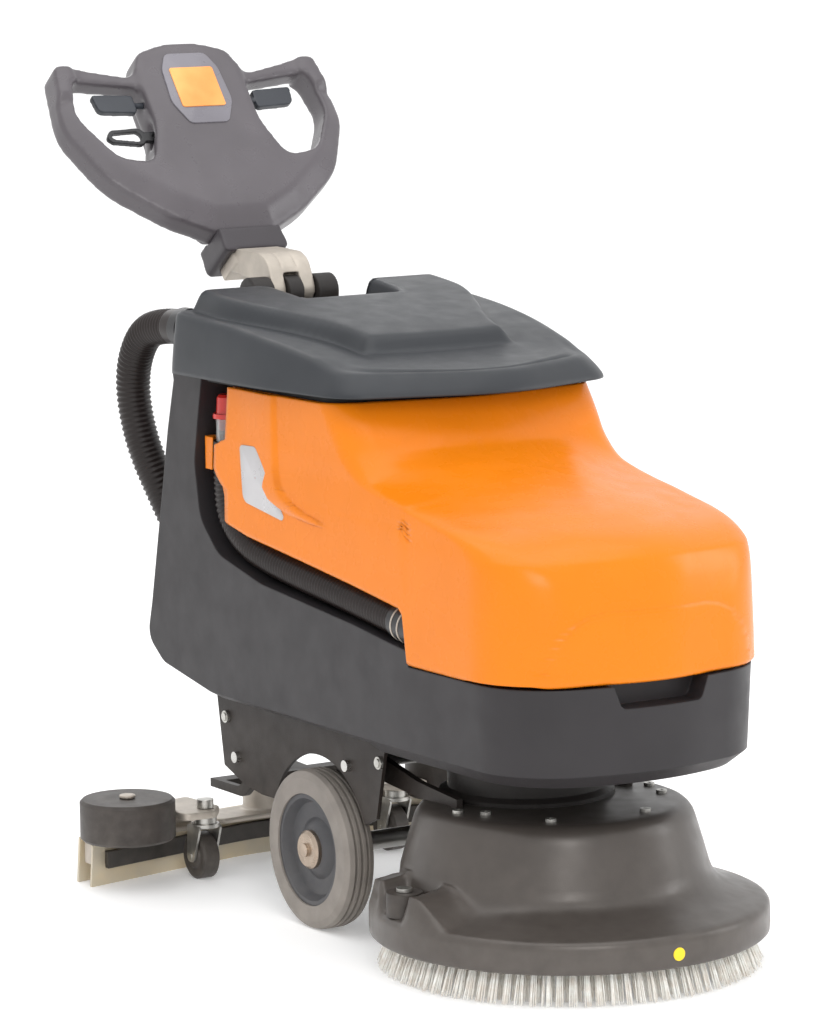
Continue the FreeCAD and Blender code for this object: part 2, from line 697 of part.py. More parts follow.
def release_lever():
    """Thin bent lever in the left-hand loop."""
    outer = [(-124, 158, 4), (-118, 168, 6), (-76, 170, 10), (-76, 146, 10), (-118, 152, 5)]
    hole = [(-118, 159, 2), (-114, 163.5, 3), (-82, 165, 6), (-82, 151, 6), (-114, 156, 2)]
    blade = handle_plate(outer, PADDLE_OUT + 3, PADDLE_OUT - 3)
    blade = blade.cut(handle_plate(hole, PADDLE_OUT + 5, PADDLE_OUT - 5))
    root = handle_plate([(-79, 152, 0), (-61, 152, 0), (-61, 164, 0), (-79, 164, 0)],
                        PADDLE_OUT + 3, PADDLE_OUT - 3)
    bore = Part.makeCylinder(2, 12, on_handle(*LEVER_PIVOT, PADDLE_OUT - 6), OUT)
    return blade.fuse(root).cut(bore)


def lever_room():
    corners = [(-80, 142, 0), (-60, 142, 0), (-60, 178, 0), (-80, 178, 0)]
    return handle_plate(corners, PADDLE_OUT + 4, PADDLE_OUT - 4)


# ---------------------------------------------------------------- brush deck
def deck_housing():
    """Spun deck: vertical rim, sloping flange and a dome set back over the drive."""
    low, high = RIM_Z
    flange = turned_z([(RIM_R, low), (RIM_R, high), (150, high + 12), (120, high + 12),
                       (120, high + 6), (150, high + 6), (RIM_R - 5, high - 5),
                       (RIM_R - 5, low)], (0, 0))
    dome = turned_z([(157, high - 4), (152, 86), (137, 146), (126, DECK_TOP), (0, DECK_TOP),
                     (0, DECK_TOP - 6), (123, DECK_TOP - 6), (132, 144), (147, 86),
                     (151, high + 2), (151, high - 4)], (0, DOME_Y))
    inside = turned_z([(0, high - 10), (151, high - 10), (147, 86), (132, 144),
                       (123, DECK_TOP - 6), (0, DECK_TOP - 6)], (0, DOME_Y))
    body = flange.cut(inside).fuse(dome)
    bearing = rod_z(BELT_Z[1] + 3, DECK_TOP - 6, (0, 0), 24)
    body = body.fuse(bearing)
    pocket = box((-205, -150), (-2, 46), (65, 110))
    shoulder = turned_z([(150, 61), (RIM_R, 61), (RIM_R, 98), (150, 106)], (0, 0))
    shoulder = shoulder.common(box((-205, -130), (-40, 110), (50, 110))).cut(inside)
    body = body.fuse(shoulder).cut(pocket)
    shelf = box((-192, -146), (-2, 46), (61, 65)).cut(inside)
    body = body.fuse(shelf)
    body = body.cut(rod_z(100, 170, (0, 0), 12 + RUNNING))
    body = body.cut(rod_z(100, 170, (0, MOTOR_Y), 8 + RUNNING))
    body = body.cut(rod_z(55, 70, (-178, 22), 4))
    return body.removeSplitter()


def deck_roller():
    """Side roller that keeps the deck off a wall."""
    return rod_z(65.5, 89, (-178, 22), 18).cut(rod_z(60, 90, (-178, 22), 4 + RUNNING))


def roller_bolt():
    stem = rod_z(61, 90, (-178, 22), 4)
    return stem.fuse(rod_z(89.5, 93, (-178, 22), 8))


def brush_motor():
    """Drive motor standing on the deck, up inside the base."""
    body = turned_z([(0, DECK_TOP), (MOTOR_R + 8, DECK_TOP), (MOTOR_R + 8, DECK_TOP + 5),
                     (MOTOR_R, DECK_TOP + 9), (MOTOR_R, 232), (72, 240), (72, MOTOR_TOP),
                     (0, MOTOR_TOP)], (0, MOTOR_Y))
    return body.cut(rod_z(150, 200, (0, MOTOR_Y), 9))


def deck_arms():
    """Two steel arms from the deck's top back to the frame's front rod."""
    y, z = DECK_HINGE
    profile = [(40, DECK_TOP, 0), (112, DECK_TOP, 0), (y - 4, z - 13, 12), (y + 14, z - 7, 8),
               (y + 13, z + 12, 8), (y - 12, z + 12, 10), (112, DECK_TOP + 16, 60),
               (40, DECK_TOP + 10, 0)]
    arm = side_prism(profile, 98, 105)
    arm = arm.cut(rod_x(90, 110, DECK_HINGE, ROD_R + RUNNING))
    arm = arm.cut(rod_z(150, 200, (0, MOTOR_Y), MOTOR_R + 8))
    return both(arm)


def deck_screws():
    """Round-headed screws on the deck's top."""
    screws = []
    for x, y in ((-96, 2), (-62, -62), (40, -76), (104, -12), (114, 24), (-114, 24)):
        head = rod_z(DECK_TOP, DECK_TOP + 4, (x, y), 5.5)
        screws.append(head.cut(rod_z(DECK_TOP + 2, DECK_TOP + 5, (x, y), 2)))
    return screws


def drive_belt():
    """Flat-sided belt round the motor's pulley and the brush's pulley."""
    def loop(extra):
        big, small = BRUSH_PULLEY_R + extra, MOTOR_PULLEY_R + extra
        tilt = math.asin((big - small) / MOTOR_Y)
        span = [(big * math.cos(tilt), big * math.sin(tilt)),
                (small * math.cos(tilt), MOTOR_Y + small * math.sin(tilt)),
                (-small * math.cos(tilt), MOTOR_Y + small * math.sin(tilt)),
                (-big * math.cos(tilt), big * math.sin(tilt))]
        discs = [rod_z(BELT_Z[0], BELT_Z[1], (0, 0), big),
                 rod_z(BELT_Z[0], BELT_Z[1], (0, MOTOR_Y), small)]
        return plan_prism(sharp(span), *BELT_Z).fuse(discs)
    return loop(3.4).cut(loop(0.4))


def motor_pulley():
    """Small pulley on the motor's shaft."""
    shaft = rod_z(108, DECK_TOP - 0.5, (0, MOTOR_Y), 8)
    return shaft.fuse(rod_z(*BELT_Z, (0, MOTOR_Y), MOTOR_PULLEY_R))


# ---------------------------------------------------------------- brush
def brush_block():
    """Disc that the bristles are set in, with a square-cut socket for the drive hub."""
    block = turned_z([(40, 40), (168, 40), (178, 46), (172, 56), (40, 60)], (0, 0))
    return block


def bristles():
    """Ring of bristles, flaring towards the floor."""
    return turned_z([(70, 0), (BRUSH_R, 0), (178, 40), (168, 40), (70, 40)], (0, 0))


def drive_hub():
    """Drive coupling, shaft and large pulley above the brush."""
    hub = turned_z([(0, 42), (39.9, 42), (39.9, 70), (20, 76), (20, 100), (12, 104),
                    (12, DECK_TOP - 1), (0, DECK_TOP - 1)], (0, 0))
    return hub.fuse(rod_z(*BELT_Z, (0, 0), BRUSH_PULLEY_R))


# ---------------------------------------------------------------- wheels
def wheel_profile_tyre():
    inner, outer = WHEEL_OUTER_X - WHEEL_W, WHEEL_OUTER_X
    points = [(inner, 58), (outer, 58), (outer, WHEEL_R - 8), (outer - 3, WHEEL_R - 1.5)]
    pitch = (WHEEL_W - 6) / 4
    for i in (1, 2, 3):
        middle = outer - 3 - i * pitch
        points += [(middle + 1.6, WHEEL_R), (middle + 0.8, WHEEL_R - 3.5),
                   (middle - 0.8, WHEEL_R - 3.5), (middle - 1.6, WHEEL_R)]
    return points + [(inner + 3, WHEEL_R - 1.5), (inner, WHEEL_R - 8)]


def rim_profile():
    inner, outer = WHEEL_OUTER_X - WHEEL_W, WHEEL_OUTER_X
    bore = AXLE_R + RUNNING
    return [(inner - 10, bore), (outer - 6, bore), (outer - 6, 21), (outer - 9, 26),
            (outer - 14, 32), (outer - 12, 48), (outer - 2, 53), (outer - 2, 58),
            (inner + 2, 58), (inner + 2, 53), (inner + 12, 48), (inner + 10, 24),
            (inner - 10, 20)]


def cap_profile():
    outer = WHEEL_OUTER_X
    return [(outer - 6, 0), (outer - 6, 20), (outer - 2, 20), (outer + 1, 17),
            (outer + 1, 7), (outer + 4, 7), (outer + 4, 0)]


def on_side(side, profile):
    return [(side * x, r) for x, r in profile]


def wheel_part(side, profile):
    return turned_x(on_side(side, profile), (WHEEL_Y, WHEEL_R))


# ---------------------------------------------------------------- squeegee
KNEE_X, BAR_END = 60.0, 236.0
BAR_Z = (22.0, 46.0)
NOZZLE_R = 20.0
FRONT_BLADE = (10, 5, 46, 4)  # trailing offsets below and above, height, thickness
REAR_BLADE = (40, 34, 50, 4)


def bar_curve(offset, z, end=BAR_END):
    """Edges of the swept-back squeegee line at one height, from left to right."""
    slope = math.tan(math.radians(11.5))
    knee_y = 584 + offset
    end_y = knee_y - (end - KNEE_X) * slope
    apex_y = knee_y + KNEE_X * math.tan(math.radians(11.5) / 2)
    left, right = V(-end, end_y, z), V(end, end_y, z)
    knee_l, knee_r = V(-KNEE_X, knee_y, z), V(KNEE_X, knee_y, z)
    return [Part.LineSegment(left, knee_l).toShape(),
            Part.Arc(knee_l, V(0, apex_y, z), knee_r).toShape(),
            Part.LineSegment(knee_r, right).toShape()], left, right


def band_wire(front, back, z, end=BAR_END):
    ahead, left_a, right_a = bar_curve(front, z, end)
    behind, left_b, right_b = bar_curve(back, z, end)
    return Part.Wire(ahead + [Part.LineSegment(right_a, right_b).toShape()]
                     + behind[::-1] + [Part.LineSegment(left_b, left_a).toShape()])


def band(front, back, z0, z1, end=BAR_END):
    return Part.Face(band_wire(front, back, z0, end)).extrude(V(0, 0, z1 - z0))


def blade(bottom, top, height, thickness):
    """Rubber blade, its lower edge trailing behind its upper edge."""
    return loft([band_wire(bottom, bottom + thickness, 0, BAR_END + 4),
                 band_wire(top, top + thickness, height, BAR_END + 4)])


def squeegee_bar():
    """Channel between the blades, with the plate that joins it to the swivel."""
    low, high = BAR_Z
    body = band(12, 33, low, high)
    body = body.cut(band(16, 29, low - 5, high - 5, BAR_END - 4))
    plate = plan_prism([(-80, 566, 10), (80, 566, 10), (64, 618, 15), (-64, 618, 15)],
                       high, high + 6)
    boss = rod_z(high, 88, (0, SWIVEL_Y), 27)
    body = body.fuse([plate, boss]).cut(rod_z(0, 95, (0, SWIVEL_Y), NOZZLE_R))
    return body.removeSplitter()


def clamp_strip():
    """Strip that clamps the front blade to the bar."""
    return band(-2, 5, 20, 38, BAR_END - 12).cut(blade(*FRONT_BLADE))


def suction_nozzle():
    """Swivelling suction port: the hose plugs onto its top."""
    neck = rod_z(26, 122, (0, SWIVEL_Y), NOZZLE_R).fuse(rod_z(88, 91, (0, SWIVEL_Y), 29))
    return neck.cut(rod_z(20, 125, (0, SWIVEL_Y), NOZZLE_R - 4)).cut(
        band(-20, 11.9, 0, 60))


def roller_bracket(side):
    """End bracket of the squeegee: carries a bumper roller and a castor."""
    rx, ry = ROLLER[0] * side, ROLLER[1]
    cx, cy = CASTOR[0] * side, CASTOR[1]
    top = BAR_Z[1]
    corners = [(cx + side * 34, cy - 16, 8), (cx - side * 2, cy - 20, 14),
               (cx - side * 20, cy + 4, 12), (cx - side * 14, 588, 6), (cx + side * 34, 580, 6)]
    upper = plan_prism(corners, 70, 78)
    leg = box(sorted((cx - side * 14, cx + side * 26)), (577, 592), (top, 72))
    foot = box(sorted((cx - side * 14, rx + side * 12)), (560, 592), (top, ROLLER_Z[0] - 0.5))
    post = rod_z(top, ROLLER_Z[0] - 0.5, (rx, ry), 16)
    arm = box((rx - 12, rx + 12), (ry, 565), (top, ROLLER_Z[0] - 0.5))
    stem = rod_z(top, ROLLER_Z[1] + 3, (rx, ry), 5)
    head = rod_z(ROLLER_Z[1] + 0.5, ROLLER_Z[1] + 4, (rx, ry), 9)
    room = rod_z(ROLLER_Z[0] - 0.5, 100, (rx, ry), ROLLER_R + 2)
    body = upper.fuse([leg, foot]).cut(room).fuse([post, arm, stem, head])
    blades = blade(*FRONT_BLADE).fuse(blade(*REAR_BLADE))
    return body.cut(rod_z(60, 90, (cx, cy), 6)).cut(blades)


def bumper_roller(side):
    rx, ry = ROLLER[0] * side, ROLLER[1]
    low, high = ROLLER_Z
    body = turned_z([(5 + RUNNING, low), (ROLLER_R - 3, low), (ROLLER_R, low + 3),
                     (ROLLER_R, high - 3), (ROLLER_R - 3, high), (5 + RUNNING, high)], (rx, ry))
    return body


def castor_fork(side):
    """Zinc fork of a castor, turning on its stem in the bracket."""
    cx, cy = CASTOR[0] * side, CASTOR[1]
    top = rod_z(58, 62, (cx, cy), 15)
    head = rod_z(62, 69.4, (cx, cy), 12)
    stem = rod_z(69.4, 84, (cx, cy), 6 - RUNNING)
    nut = rod_z(79, 88, (cx, cy), 9)
    axle = (cy + CASTOR_TRAIL, CASTOR_R)
    cheek = side_prism([(cy - 12, 60, 3), (cy + 15, 60, 3), (axle[0] + 7, axle[1] - 6, 6),
                        (axle[0] - 7, axle[1] - 6, 6)], 11.5, 14)
    cheeks = []
    for way in (-1, 1):
        piece = cheek if way > 0 else cheek.mirror(V(0, 0, 0), V(1, 0, 0))
        piece = piece.copy()
        piece.translate(V(cx, 0, 0))
        cheeks.append(piece)
    pin = rod_x(cx - 15, cx + 15, axle, 4)
    return top.fuse([head, stem, nut, pin] + cheeks)


def castor_wheel(side):
    cx = CASTOR[0] * side
    centre = (CASTOR[1] + CASTOR_TRAIL, CASTOR_R)
    bore = 4 + RUNNING
    profile = [(-11, bore), (11, bore), (11, 12), (9, 14), (10, 22), (8, CASTOR_R),
               (-8, CASTOR_R), (-10, 22), (-9, 14), (-11, 12)]
    return turned_x([(cx + x, r) for x, r in profile], centre)


def squeegee_arm():
    """Fork from the frame's rear rod back to the squeegee's swivel."""
    y, z = SQUEEGEE_HINGE
    link = side_prism([(y - 12, z - 10, 10), (y + 4, z - 14, 10), (488, 92, 20), (560, 92, 0),
                       (560, 101, 0), (496, 102, 20), (y + 13, z + 8, 10), (y - 8, z + 13, 10)],
                      84, 91)
    cross = box((-91, 91), (540, 560), (92, 101))
    tongue = plan_prism([(-30, 556, 0), (30, 556, 0), (34, SWIVEL_Y + 28, 24),
                         (-34, SWIVEL_Y + 28, 24)], 92, 101)
    arm = cross.fuse([tongue] + both(link))
    arm = arm.cut(rod_x(-95, 95, SQUEEGEE_HINGE, ROD_R + RUNNING))
    return arm.cut(rod_z(80, 110, (0, SWIVEL_Y), NOZZLE_R + RUNNING)).removeSplitter()


# ---------------------------------------------------------------- assembly
def main():
    save("chassis_frame", chassis_frame())
    save("cross_rods", *cross_rods())
    save("frame_bolts", *frame_bolts())
    save("base_tank", base_tank())
    save("batteries", *batteries())
    save("vacuum_motor", vacuum_motor())
    save("hinge_posts", *hinge_posts())
    save("hose_elbow", hose_elbow())
    save("handle_bracket", handle_bracket())

    save("recovery_tank", recovery_tank())
    save("side_badge", side_badge())
    save("drain_fittings", *drain_fittings(), hose_clip())
    save("drain_cap", drain_cap())
    for name, (solid, radii, length), section in (
            ("vacuum_hose", vacuum_hose(), math.pi * (19 ** 2 - 15.5 ** 2)),
            ("drain_hose", drain_hose(), math.pi * (DRAIN_R ** 2 - 13.5 ** 2))):
        save(name, solid)
        print(name, "radii", [round(r) for r in radii], "length", round(length),
              "volume ratio", round(solid.Volume / (section * length), 4))

    save("lid", lid())
    save("lid_seal", lid_seal())
    save("hinge_pins", *hinge_pins())

    front, back = handle_front_shell(), handle_back_shell()
    for side in (-1, 1):
        front, back = front.cut(shaft_bore(side)), back.cut(shaft_bore(side))
    front, back = front.cut(lever_room()), back.cut(lever_room())
    save("handle_front_shell", front.cut(arm_core(0)))
    save("handle_back_shell", back.cut(arm_core(0)))
    save("neck_shell", neck_shell())
    save("handle_arm", handle_arm())
    save("pivot_pin", pivot_pin())
    save("panel_inlay", panel_inlay())
    save("front_badge", front_badge())
    save("control_panel", control_panel())
    save("power_button", power_button())
    save("right_paddle", paddle())
    save("left_paddle", paddle().mirror(V(0, 0, 0), V(1, 0, 0)))
    save("release_lever", release_lever())

    save("deck_housing", deck_housing())
    save("deck_arms", *deck_arms())
    save("deck_screws", *deck_screws(), roller_bolt())
    save("deck_roller", deck_roller())
    save("brush_motor", brush_motor())
    save("drive_belt", drive_belt())
    save("motor_pulley", motor_pulley())
    save("brush_block", brush_block())
    save("bristles", bristles())
    save("drive_hub", drive_hub())

    for name, side in SIDES:
        save("tyre_" + name, wheel_part(side, wheel_profile_tyre()))
        save("rim_" + name, wheel_part(side, rim_profile()))
        save("hub_cap_" + name, wheel_part(side, cap_profile()))
        save("roller_bracket_" + name, roller_bracket(side))
        save("bumper_roller_" + name, bumper_roller(side))
        save("castor_fork_" + name, castor_fork(side))
        save("castor_wheel_" + name, castor_wheel(side))

    save("squeegee_arm", squeegee_arm())
    save("squeegee_bar", squeegee_bar())
    save("clamp_strip", clamp_strip())
    save("front_blade", blade(*FRONT_BLADE))
    save("rear_blade", blade(*REAR_BLADE))
    save("suction_nozzle", suction_nozzle())


main()
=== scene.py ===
"""Looks of a walk-behind wet dry floor scrubber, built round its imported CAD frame."""
import json
import math
import random

import bpy
import bmesh
from mathutils import Matrix, Vector

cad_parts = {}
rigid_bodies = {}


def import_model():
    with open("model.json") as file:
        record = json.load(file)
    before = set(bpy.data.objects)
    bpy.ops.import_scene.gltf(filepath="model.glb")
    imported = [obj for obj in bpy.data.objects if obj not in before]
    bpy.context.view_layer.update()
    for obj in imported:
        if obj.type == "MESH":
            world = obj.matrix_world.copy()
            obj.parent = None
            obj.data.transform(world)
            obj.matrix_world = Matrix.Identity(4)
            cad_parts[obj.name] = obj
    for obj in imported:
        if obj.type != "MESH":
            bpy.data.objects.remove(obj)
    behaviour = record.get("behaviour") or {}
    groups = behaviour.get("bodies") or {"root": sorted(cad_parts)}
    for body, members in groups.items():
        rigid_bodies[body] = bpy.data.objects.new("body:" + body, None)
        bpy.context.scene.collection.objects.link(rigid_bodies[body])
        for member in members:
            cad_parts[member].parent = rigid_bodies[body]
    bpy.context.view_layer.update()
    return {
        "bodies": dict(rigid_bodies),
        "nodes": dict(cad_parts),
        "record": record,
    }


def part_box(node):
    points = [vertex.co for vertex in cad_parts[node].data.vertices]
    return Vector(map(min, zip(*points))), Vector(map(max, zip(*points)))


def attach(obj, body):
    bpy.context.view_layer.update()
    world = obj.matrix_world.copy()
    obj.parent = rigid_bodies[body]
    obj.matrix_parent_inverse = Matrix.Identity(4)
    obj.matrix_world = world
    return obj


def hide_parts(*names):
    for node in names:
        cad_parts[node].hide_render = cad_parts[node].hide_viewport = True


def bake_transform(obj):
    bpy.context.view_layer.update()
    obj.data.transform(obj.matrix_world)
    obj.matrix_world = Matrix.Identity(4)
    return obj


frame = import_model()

NODES = frame["nodes"]
BRUSH_LOW, BRUSH_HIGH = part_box("bristles")
BRUSH_Y = (BRUSH_LOW.y + BRUSH_HIGH.y) / 2     # most places are counted from the brush's axis
MM = 0.001


def at(x, y, z):
    """Point of the row frame from millimetres counted from the brush's axis."""
    return Vector((x * MM, y * MM + BRUSH_Y, z * MM))


def smoothstep(value, low=0.0, high=1.0):
    """Smooth rise from 0 at low to 1 at high."""
    share = min(1.0, max(0.0, (value - low) / (high - low)))
    return share * share * (3 - 2 * share)


def along(table, value):
    """Value of a (place, height) table at a place, straight between its points."""
    if value <= table[0][0]:
        return table[0][1]
    for (x0, y0), (x1, y1) in zip(table, table[1:]):
        if value <= x1:
            return y0 + (y1 - y0) * (value - x0) / (x1 - x0)
    return table[-1][1]


def monotone(table, value):
    """Monotone cubic through a table of (place, height): no overshoot between its points."""
    value = min(max(value, table[0][0]), table[-1][0])
    slopes = [(b[1] - a[1]) / (b[0] - a[0]) for a, b in zip(table, table[1:])]
    tangents = [slopes[0]]
    for left, right in zip(slopes, slopes[1:]):
        tangents.append(0.0 if left * right <= 0 else 2 * left * right / (left + right))
    tangents.append(slopes[-1])
    for i, (a, b) in enumerate(zip(table, table[1:])):
        if value <= b[0]:
            break
    width = b[0] - a[0]
    t = (value - a[0]) / width
    return ((2 * t**3 - 3 * t**2 + 1) * a[1] + (t**3 - 2 * t**2 + t) * width * tangents[i]
            + (3 * t**2 - 2 * t**3) * b[1] + (t**3 - t**2) * width * tangents[i + 1])


# ---------------------------------------------------------------- materials
DUST = (0.42, 0.38, 0.33)
DUST_TOP = 0.22                # dust fades out at this height, in metres
GRAIN_DEPTH = 0.0006
BRUSH_STRETCH = (1.0, 60.0, 60.0)


def shader(name, colour, roughness=0.5, metallic=0.0, mottle=0.07, mottle_scale=14.0, grain=0.0,
           grain_scale=900.0, dust=0.0, coat=0.0, edge=0.0, second=None, transmission=0.0,
           brushed=0.0, gloss=0.5):
    """Procedural material: mottled colour, dust near the floor, fine grain, softened edges."""
    made = bpy.data.materials.new(name)
    made.use_nodes = True
    tree = made.node_tree
    nodes, link = tree.nodes, tree.links.new
    surface = nodes["Principled BSDF"]
    surface.inputs["Metallic"].default_value = metallic
    surface.inputs["Specular IOR Level"].default_value = gloss
    surface.inputs["Coat Weight"].default_value = coat
    surface.inputs["Coat Roughness"].default_value = 0.12
    surface.inputs["Transmission Weight"].default_value = transmission
    place = nodes.new("ShaderNodeTexCoord").outputs["Object"]

    def noise(scale, detail=4.0, stretch=None):
        """Noise fixed to the object."""
        texture = nodes.new("ShaderNodeTexNoise")
        texture.inputs["Scale"].default_value = scale
        texture.inputs["Detail"].default_value = detail
        if stretch is None:
            link(place, texture.inputs["Vector"])
        else:
            mapping = nodes.new("ShaderNodeMapping")
            mapping.inputs["Scale"].default_value = stretch
            link(place, mapping.inputs["Vector"])
            link(mapping.outputs["Vector"], texture.inputs["Vector"])
        return texture.outputs["Fac"]

    def ramp(source, low, high, out_low, out_high):
        """The source mapped from one range to another."""
        spread = nodes.new("ShaderNodeMapRange")
        spread.inputs["From Min"].default_value = low
        spread.inputs["From Max"].default_value = high
        spread.inputs["To Min"].default_value = out_low
        spread.inputs["To Max"].default_value = out_high
        link(source, spread.inputs["Value"])
        return spread.outputs["Result"]

    def mixed(factor, first, other):
        """Mix of two colours, each a plain colour or a socket."""
        blend = nodes.new("ShaderNodeMix")
        blend.data_type = "RGBA"
        link(factor, blend.inputs["Factor"])
        for socket, value in ((blend.inputs["A"], first), (blend.inputs["B"], other)):
            if isinstance(value, tuple):
                socket.default_value = (*value, 1.0)
            else:
                link(value, socket)
        return blend.outputs["Result"]

    dark = tuple(c * (1 - mottle) for c in colour)
    light = tuple(min(1.0, c * (1 + mottle)) for c in (second or colour))
    paint = mixed(ramp(noise(mottle_scale), 0.35, 0.65, 0.0, 1.0), dark, light)
    if dust:
        height = nodes.new("ShaderNodeSeparateXYZ")
        link(place, height.inputs["Vector"])
        low = ramp(height.outputs["Z"], 0.0, DUST_TOP, dust, 0.0)
        spotted = nodes.new("ShaderNodeMath")
        spotted.operation = "MULTIPLY"
        link(low, spotted.inputs[0])
        link(noise(60.0, 8.0), spotted.inputs[1])
        paint = mixed(spotted.outputs["Value"], paint, DUST)
    link(paint, surface.inputs["Base Color"])
    link(ramp(noise(mottle_scale * 3), 0.3, 0.7, roughness - 0.05, roughness + 0.06),
         surface.inputs["Roughness"])
    normal = None
    if edge:
        eased = nodes.new("ShaderNodeBevel")
        eased.samples = 4
        eased.inputs["Radius"].default_value = edge
        normal = eased.outputs["Normal"]
    if grain or brushed:
        bump = nodes.new("ShaderNodeBump")
        bump.inputs["Strength"].default_value = grain or brushed
        bump.inputs["Distance"].default_value = GRAIN_DEPTH
        stretch = BRUSH_STRETCH if brushed else None
        link(noise(40.0 if brushed else grain_scale, 2.0, stretch), bump.inputs["Height"])
        if normal is not None:
            link(normal, bump.inputs["Normal"])
        normal = bump.outputs["Normal"]
    if normal is not None:
        link(normal, surface.inputs["Normal"])
    return made


MATTE = dict(grain=0.18, grain_scale=1400.0)
PAINTS = {
    "base_shell": dict(colour=(0.026, 0.0235, 0.0255), roughness=0.44, gloss=0.32, edge=0.0025,
                       dust=0.10, **MATTE),
    "orange_shell": dict(colour=(0.76, 0.200, 0.006), roughness=0.27, mottle=0.02, gloss=0.24,
                         grain=0.03, edge=0.002),
    "lid_shell": dict(colour=(0.028, 0.031, 0.036), roughness=0.38, gloss=0.36, edge=0.002,
                      **MATTE),
    "grey_shell": dict(colour=(0.098, 0.088, 0.097), roughness=0.30, gloss=0.45, grain=0.06,
                       grain_scale=1400.0),
    "grey_shell_dark": dict(colour=(0.050, 0.044, 0.050), roughness=0.34, gloss=0.4, edge=0.002,
                            **MATTE),
    "inlay": dict(colour=(0.20, 0.19, 0.215), roughness=0.28, edge=0.0006, grain=0.08),
    "paddle": dict(colour=(0.032, 0.036, 0.045), roughness=0.38, edge=0.001, **MATTE),
    "black_plastic": dict(colour=(0.02, 0.02, 0.022), roughness=0.42, edge=0.0008, **MATTE),
    "cast_light": dict(colour=(0.50, 0.45, 0.39), roughness=0.45, metallic=0.35, mottle=0.10,
                       mottle_scale=40.0, grain=0.35, grain_scale=500.0, edge=0.0012),
    "cast_dark": dict(colour=(0.026, 0.023, 0.022), roughness=0.48, gloss=0.3, mottle=0.12,
                      mottle_scale=40.0, grain=0.35, grain_scale=500.0, edge=0.001, dust=0.2),
    "frame_steel": dict(colour=(0.020, 0.015, 0.013), roughness=0.45, gloss=0.25, mottle=0.14,
                        grain=0.25, grain_scale=700.0, edge=0.0008, dust=0.25),
    "deck_cover": dict(colour=(0.066, 0.056, 0.050), roughness=0.34, metallic=0.2, mottle=0.08,
                       grain=0.12, grain_scale=1100.0, edge=0.002, dust=0.15),
    "steel": dict(colour=(0.55, 0.54, 0.52), roughness=0.28, metallic=1.0, brushed=0.1, edge=0.0005),
    "zinc": dict(colour=(0.50, 0.49, 0.46), roughness=0.34, metallic=0.9, mottle=0.15,
                 mottle_scale=90.0, grain=0.1, edge=0.0005),
    "hub_cap": dict(colour=(0.42, 0.34, 0.27), roughness=0.30, metallic=0.95, mottle=0.12,
                    mottle_scale=60.0, brushed=0.1, edge=0.001),
    "tyre": dict(colour=(0.215, 0.192, 0.172), roughness=0.62, mottle=0.10, mottle_scale=30.0,
                 grain=0.3, grain_scale=700.0, dust=0.35, edge=0.0012),
    "rim": dict(colour=(0.060, 0.061, 0.068), roughness=0.42, gloss=0.35, edge=0.0015, dust=0.15,
                **MATTE),
    "hose": dict(colour=(0.016, 0.011, 0.010), roughness=0.40, gloss=0.35, grain=0.1),
    "bumper": dict(colour=(0.024, 0.019, 0.018), roughness=0.46, gloss=0.3, edge=0.0015, dust=0.3,
                   **MATTE),
    "blade": dict(colour=(0.74, 0.68, 0.56), second=(0.76, 0.64, 0.44), roughness=0.38,
                  mottle=0.12, transmission=0.25, grain=0.08, edge=0.0004),
    "bristle": dict(colour=(0.93, 0.87, 0.79), roughness=0.55, mottle=0.10, mottle_scale=120.0,
                    grain=0.1, second=(0.97, 0.93, 0.87)),
    "seal": dict(colour=(0.018, 0.017, 0.017), roughness=0.75, grain=0.4, grain_scale=500.0),
    "belt": dict(colour=(0.015, 0.015, 0.015), roughness=0.7, grain=0.4, grain_scale=500.0),
    "badge": dict(colour=(0.50, 0.49, 0.50), roughness=0.30, metallic=0.6, brushed=0.12, edge=0.0004),
    "badge_orange": dict(colour=(0.90, 0.30, 0.06), roughness=0.35, mottle=0.05, edge=0.0004,
                         second=(0.95, 0.42, 0.12)),
    "cap_red": dict(colour=(0.60, 0.02, 0.012), roughness=0.30, mottle=0.05, coat=0.3, edge=0.0008),
    "panel": dict(colour=(0.022, 0.022, 0.025), roughness=0.25, coat=0.3, edge=0.0006),
    "button": dict(colour=(0.03, 0.22, 0.07), roughness=0.3, coat=0.3, edge=0.0008),
}
MATERIALS = {slot: shader(slot, **paint) for slot, paint in PAINTS.items()}
CLEAR = shader("clear_sleeve", (0.80, 0.82, 0.82), roughness=0.12, mottle=0.04, transmission=0.85)
YELLOW = shader("yellow_dot", (0.95, 0.66, 0.02), roughness=0.4, mottle=0.04)
SLOT_OF = {part["node"]: part["material_slot"] for part in frame["record"]["subparts"]}


WELD_REACH = 0.00001
SHARP_ANGLE = math.radians(24)     # edges turning more than this stay sharp


def paint_nodes():
    """Gives each CAD node its slot's material, and shades its round faces as round."""
    for name, node in NODES.items():
        node.data.materials.clear()
        node.data.materials.append(MATERIALS[SLOT_OF[name]])
        if "custom_normal" in node.data.attributes:
            node.data.attributes.remove(node.data.attributes["custom_normal"])
        for face in node.data.polygons:
            face.use_smooth = True
        weld = node.modifiers.new("weld", "WELD")
        weld.merge_threshold = WELD_REACH
        split = node.modifiers.new("split", "EDGE_SPLIT")
        split.split_angle = SHARP_ANGLE


# ---------------------------------------------------------------- mesh helpers
def piece(name, mesh, slot, body, replaced=(), material=None):
    """New visible piece from a mesh: its slot's material, its body, and what it stands for."""
    made = bpy.data.objects.new(name, mesh)
    bpy.context.scene.collection.objects.link(made)
    mesh.materials.clear()
    mesh.materials.append(material or MATERIALS[slot])
    for face in mesh.polygons:
        face.use_smooth = True
    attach(made, body)
    if replaced:
        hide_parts(*replaced)
    return made


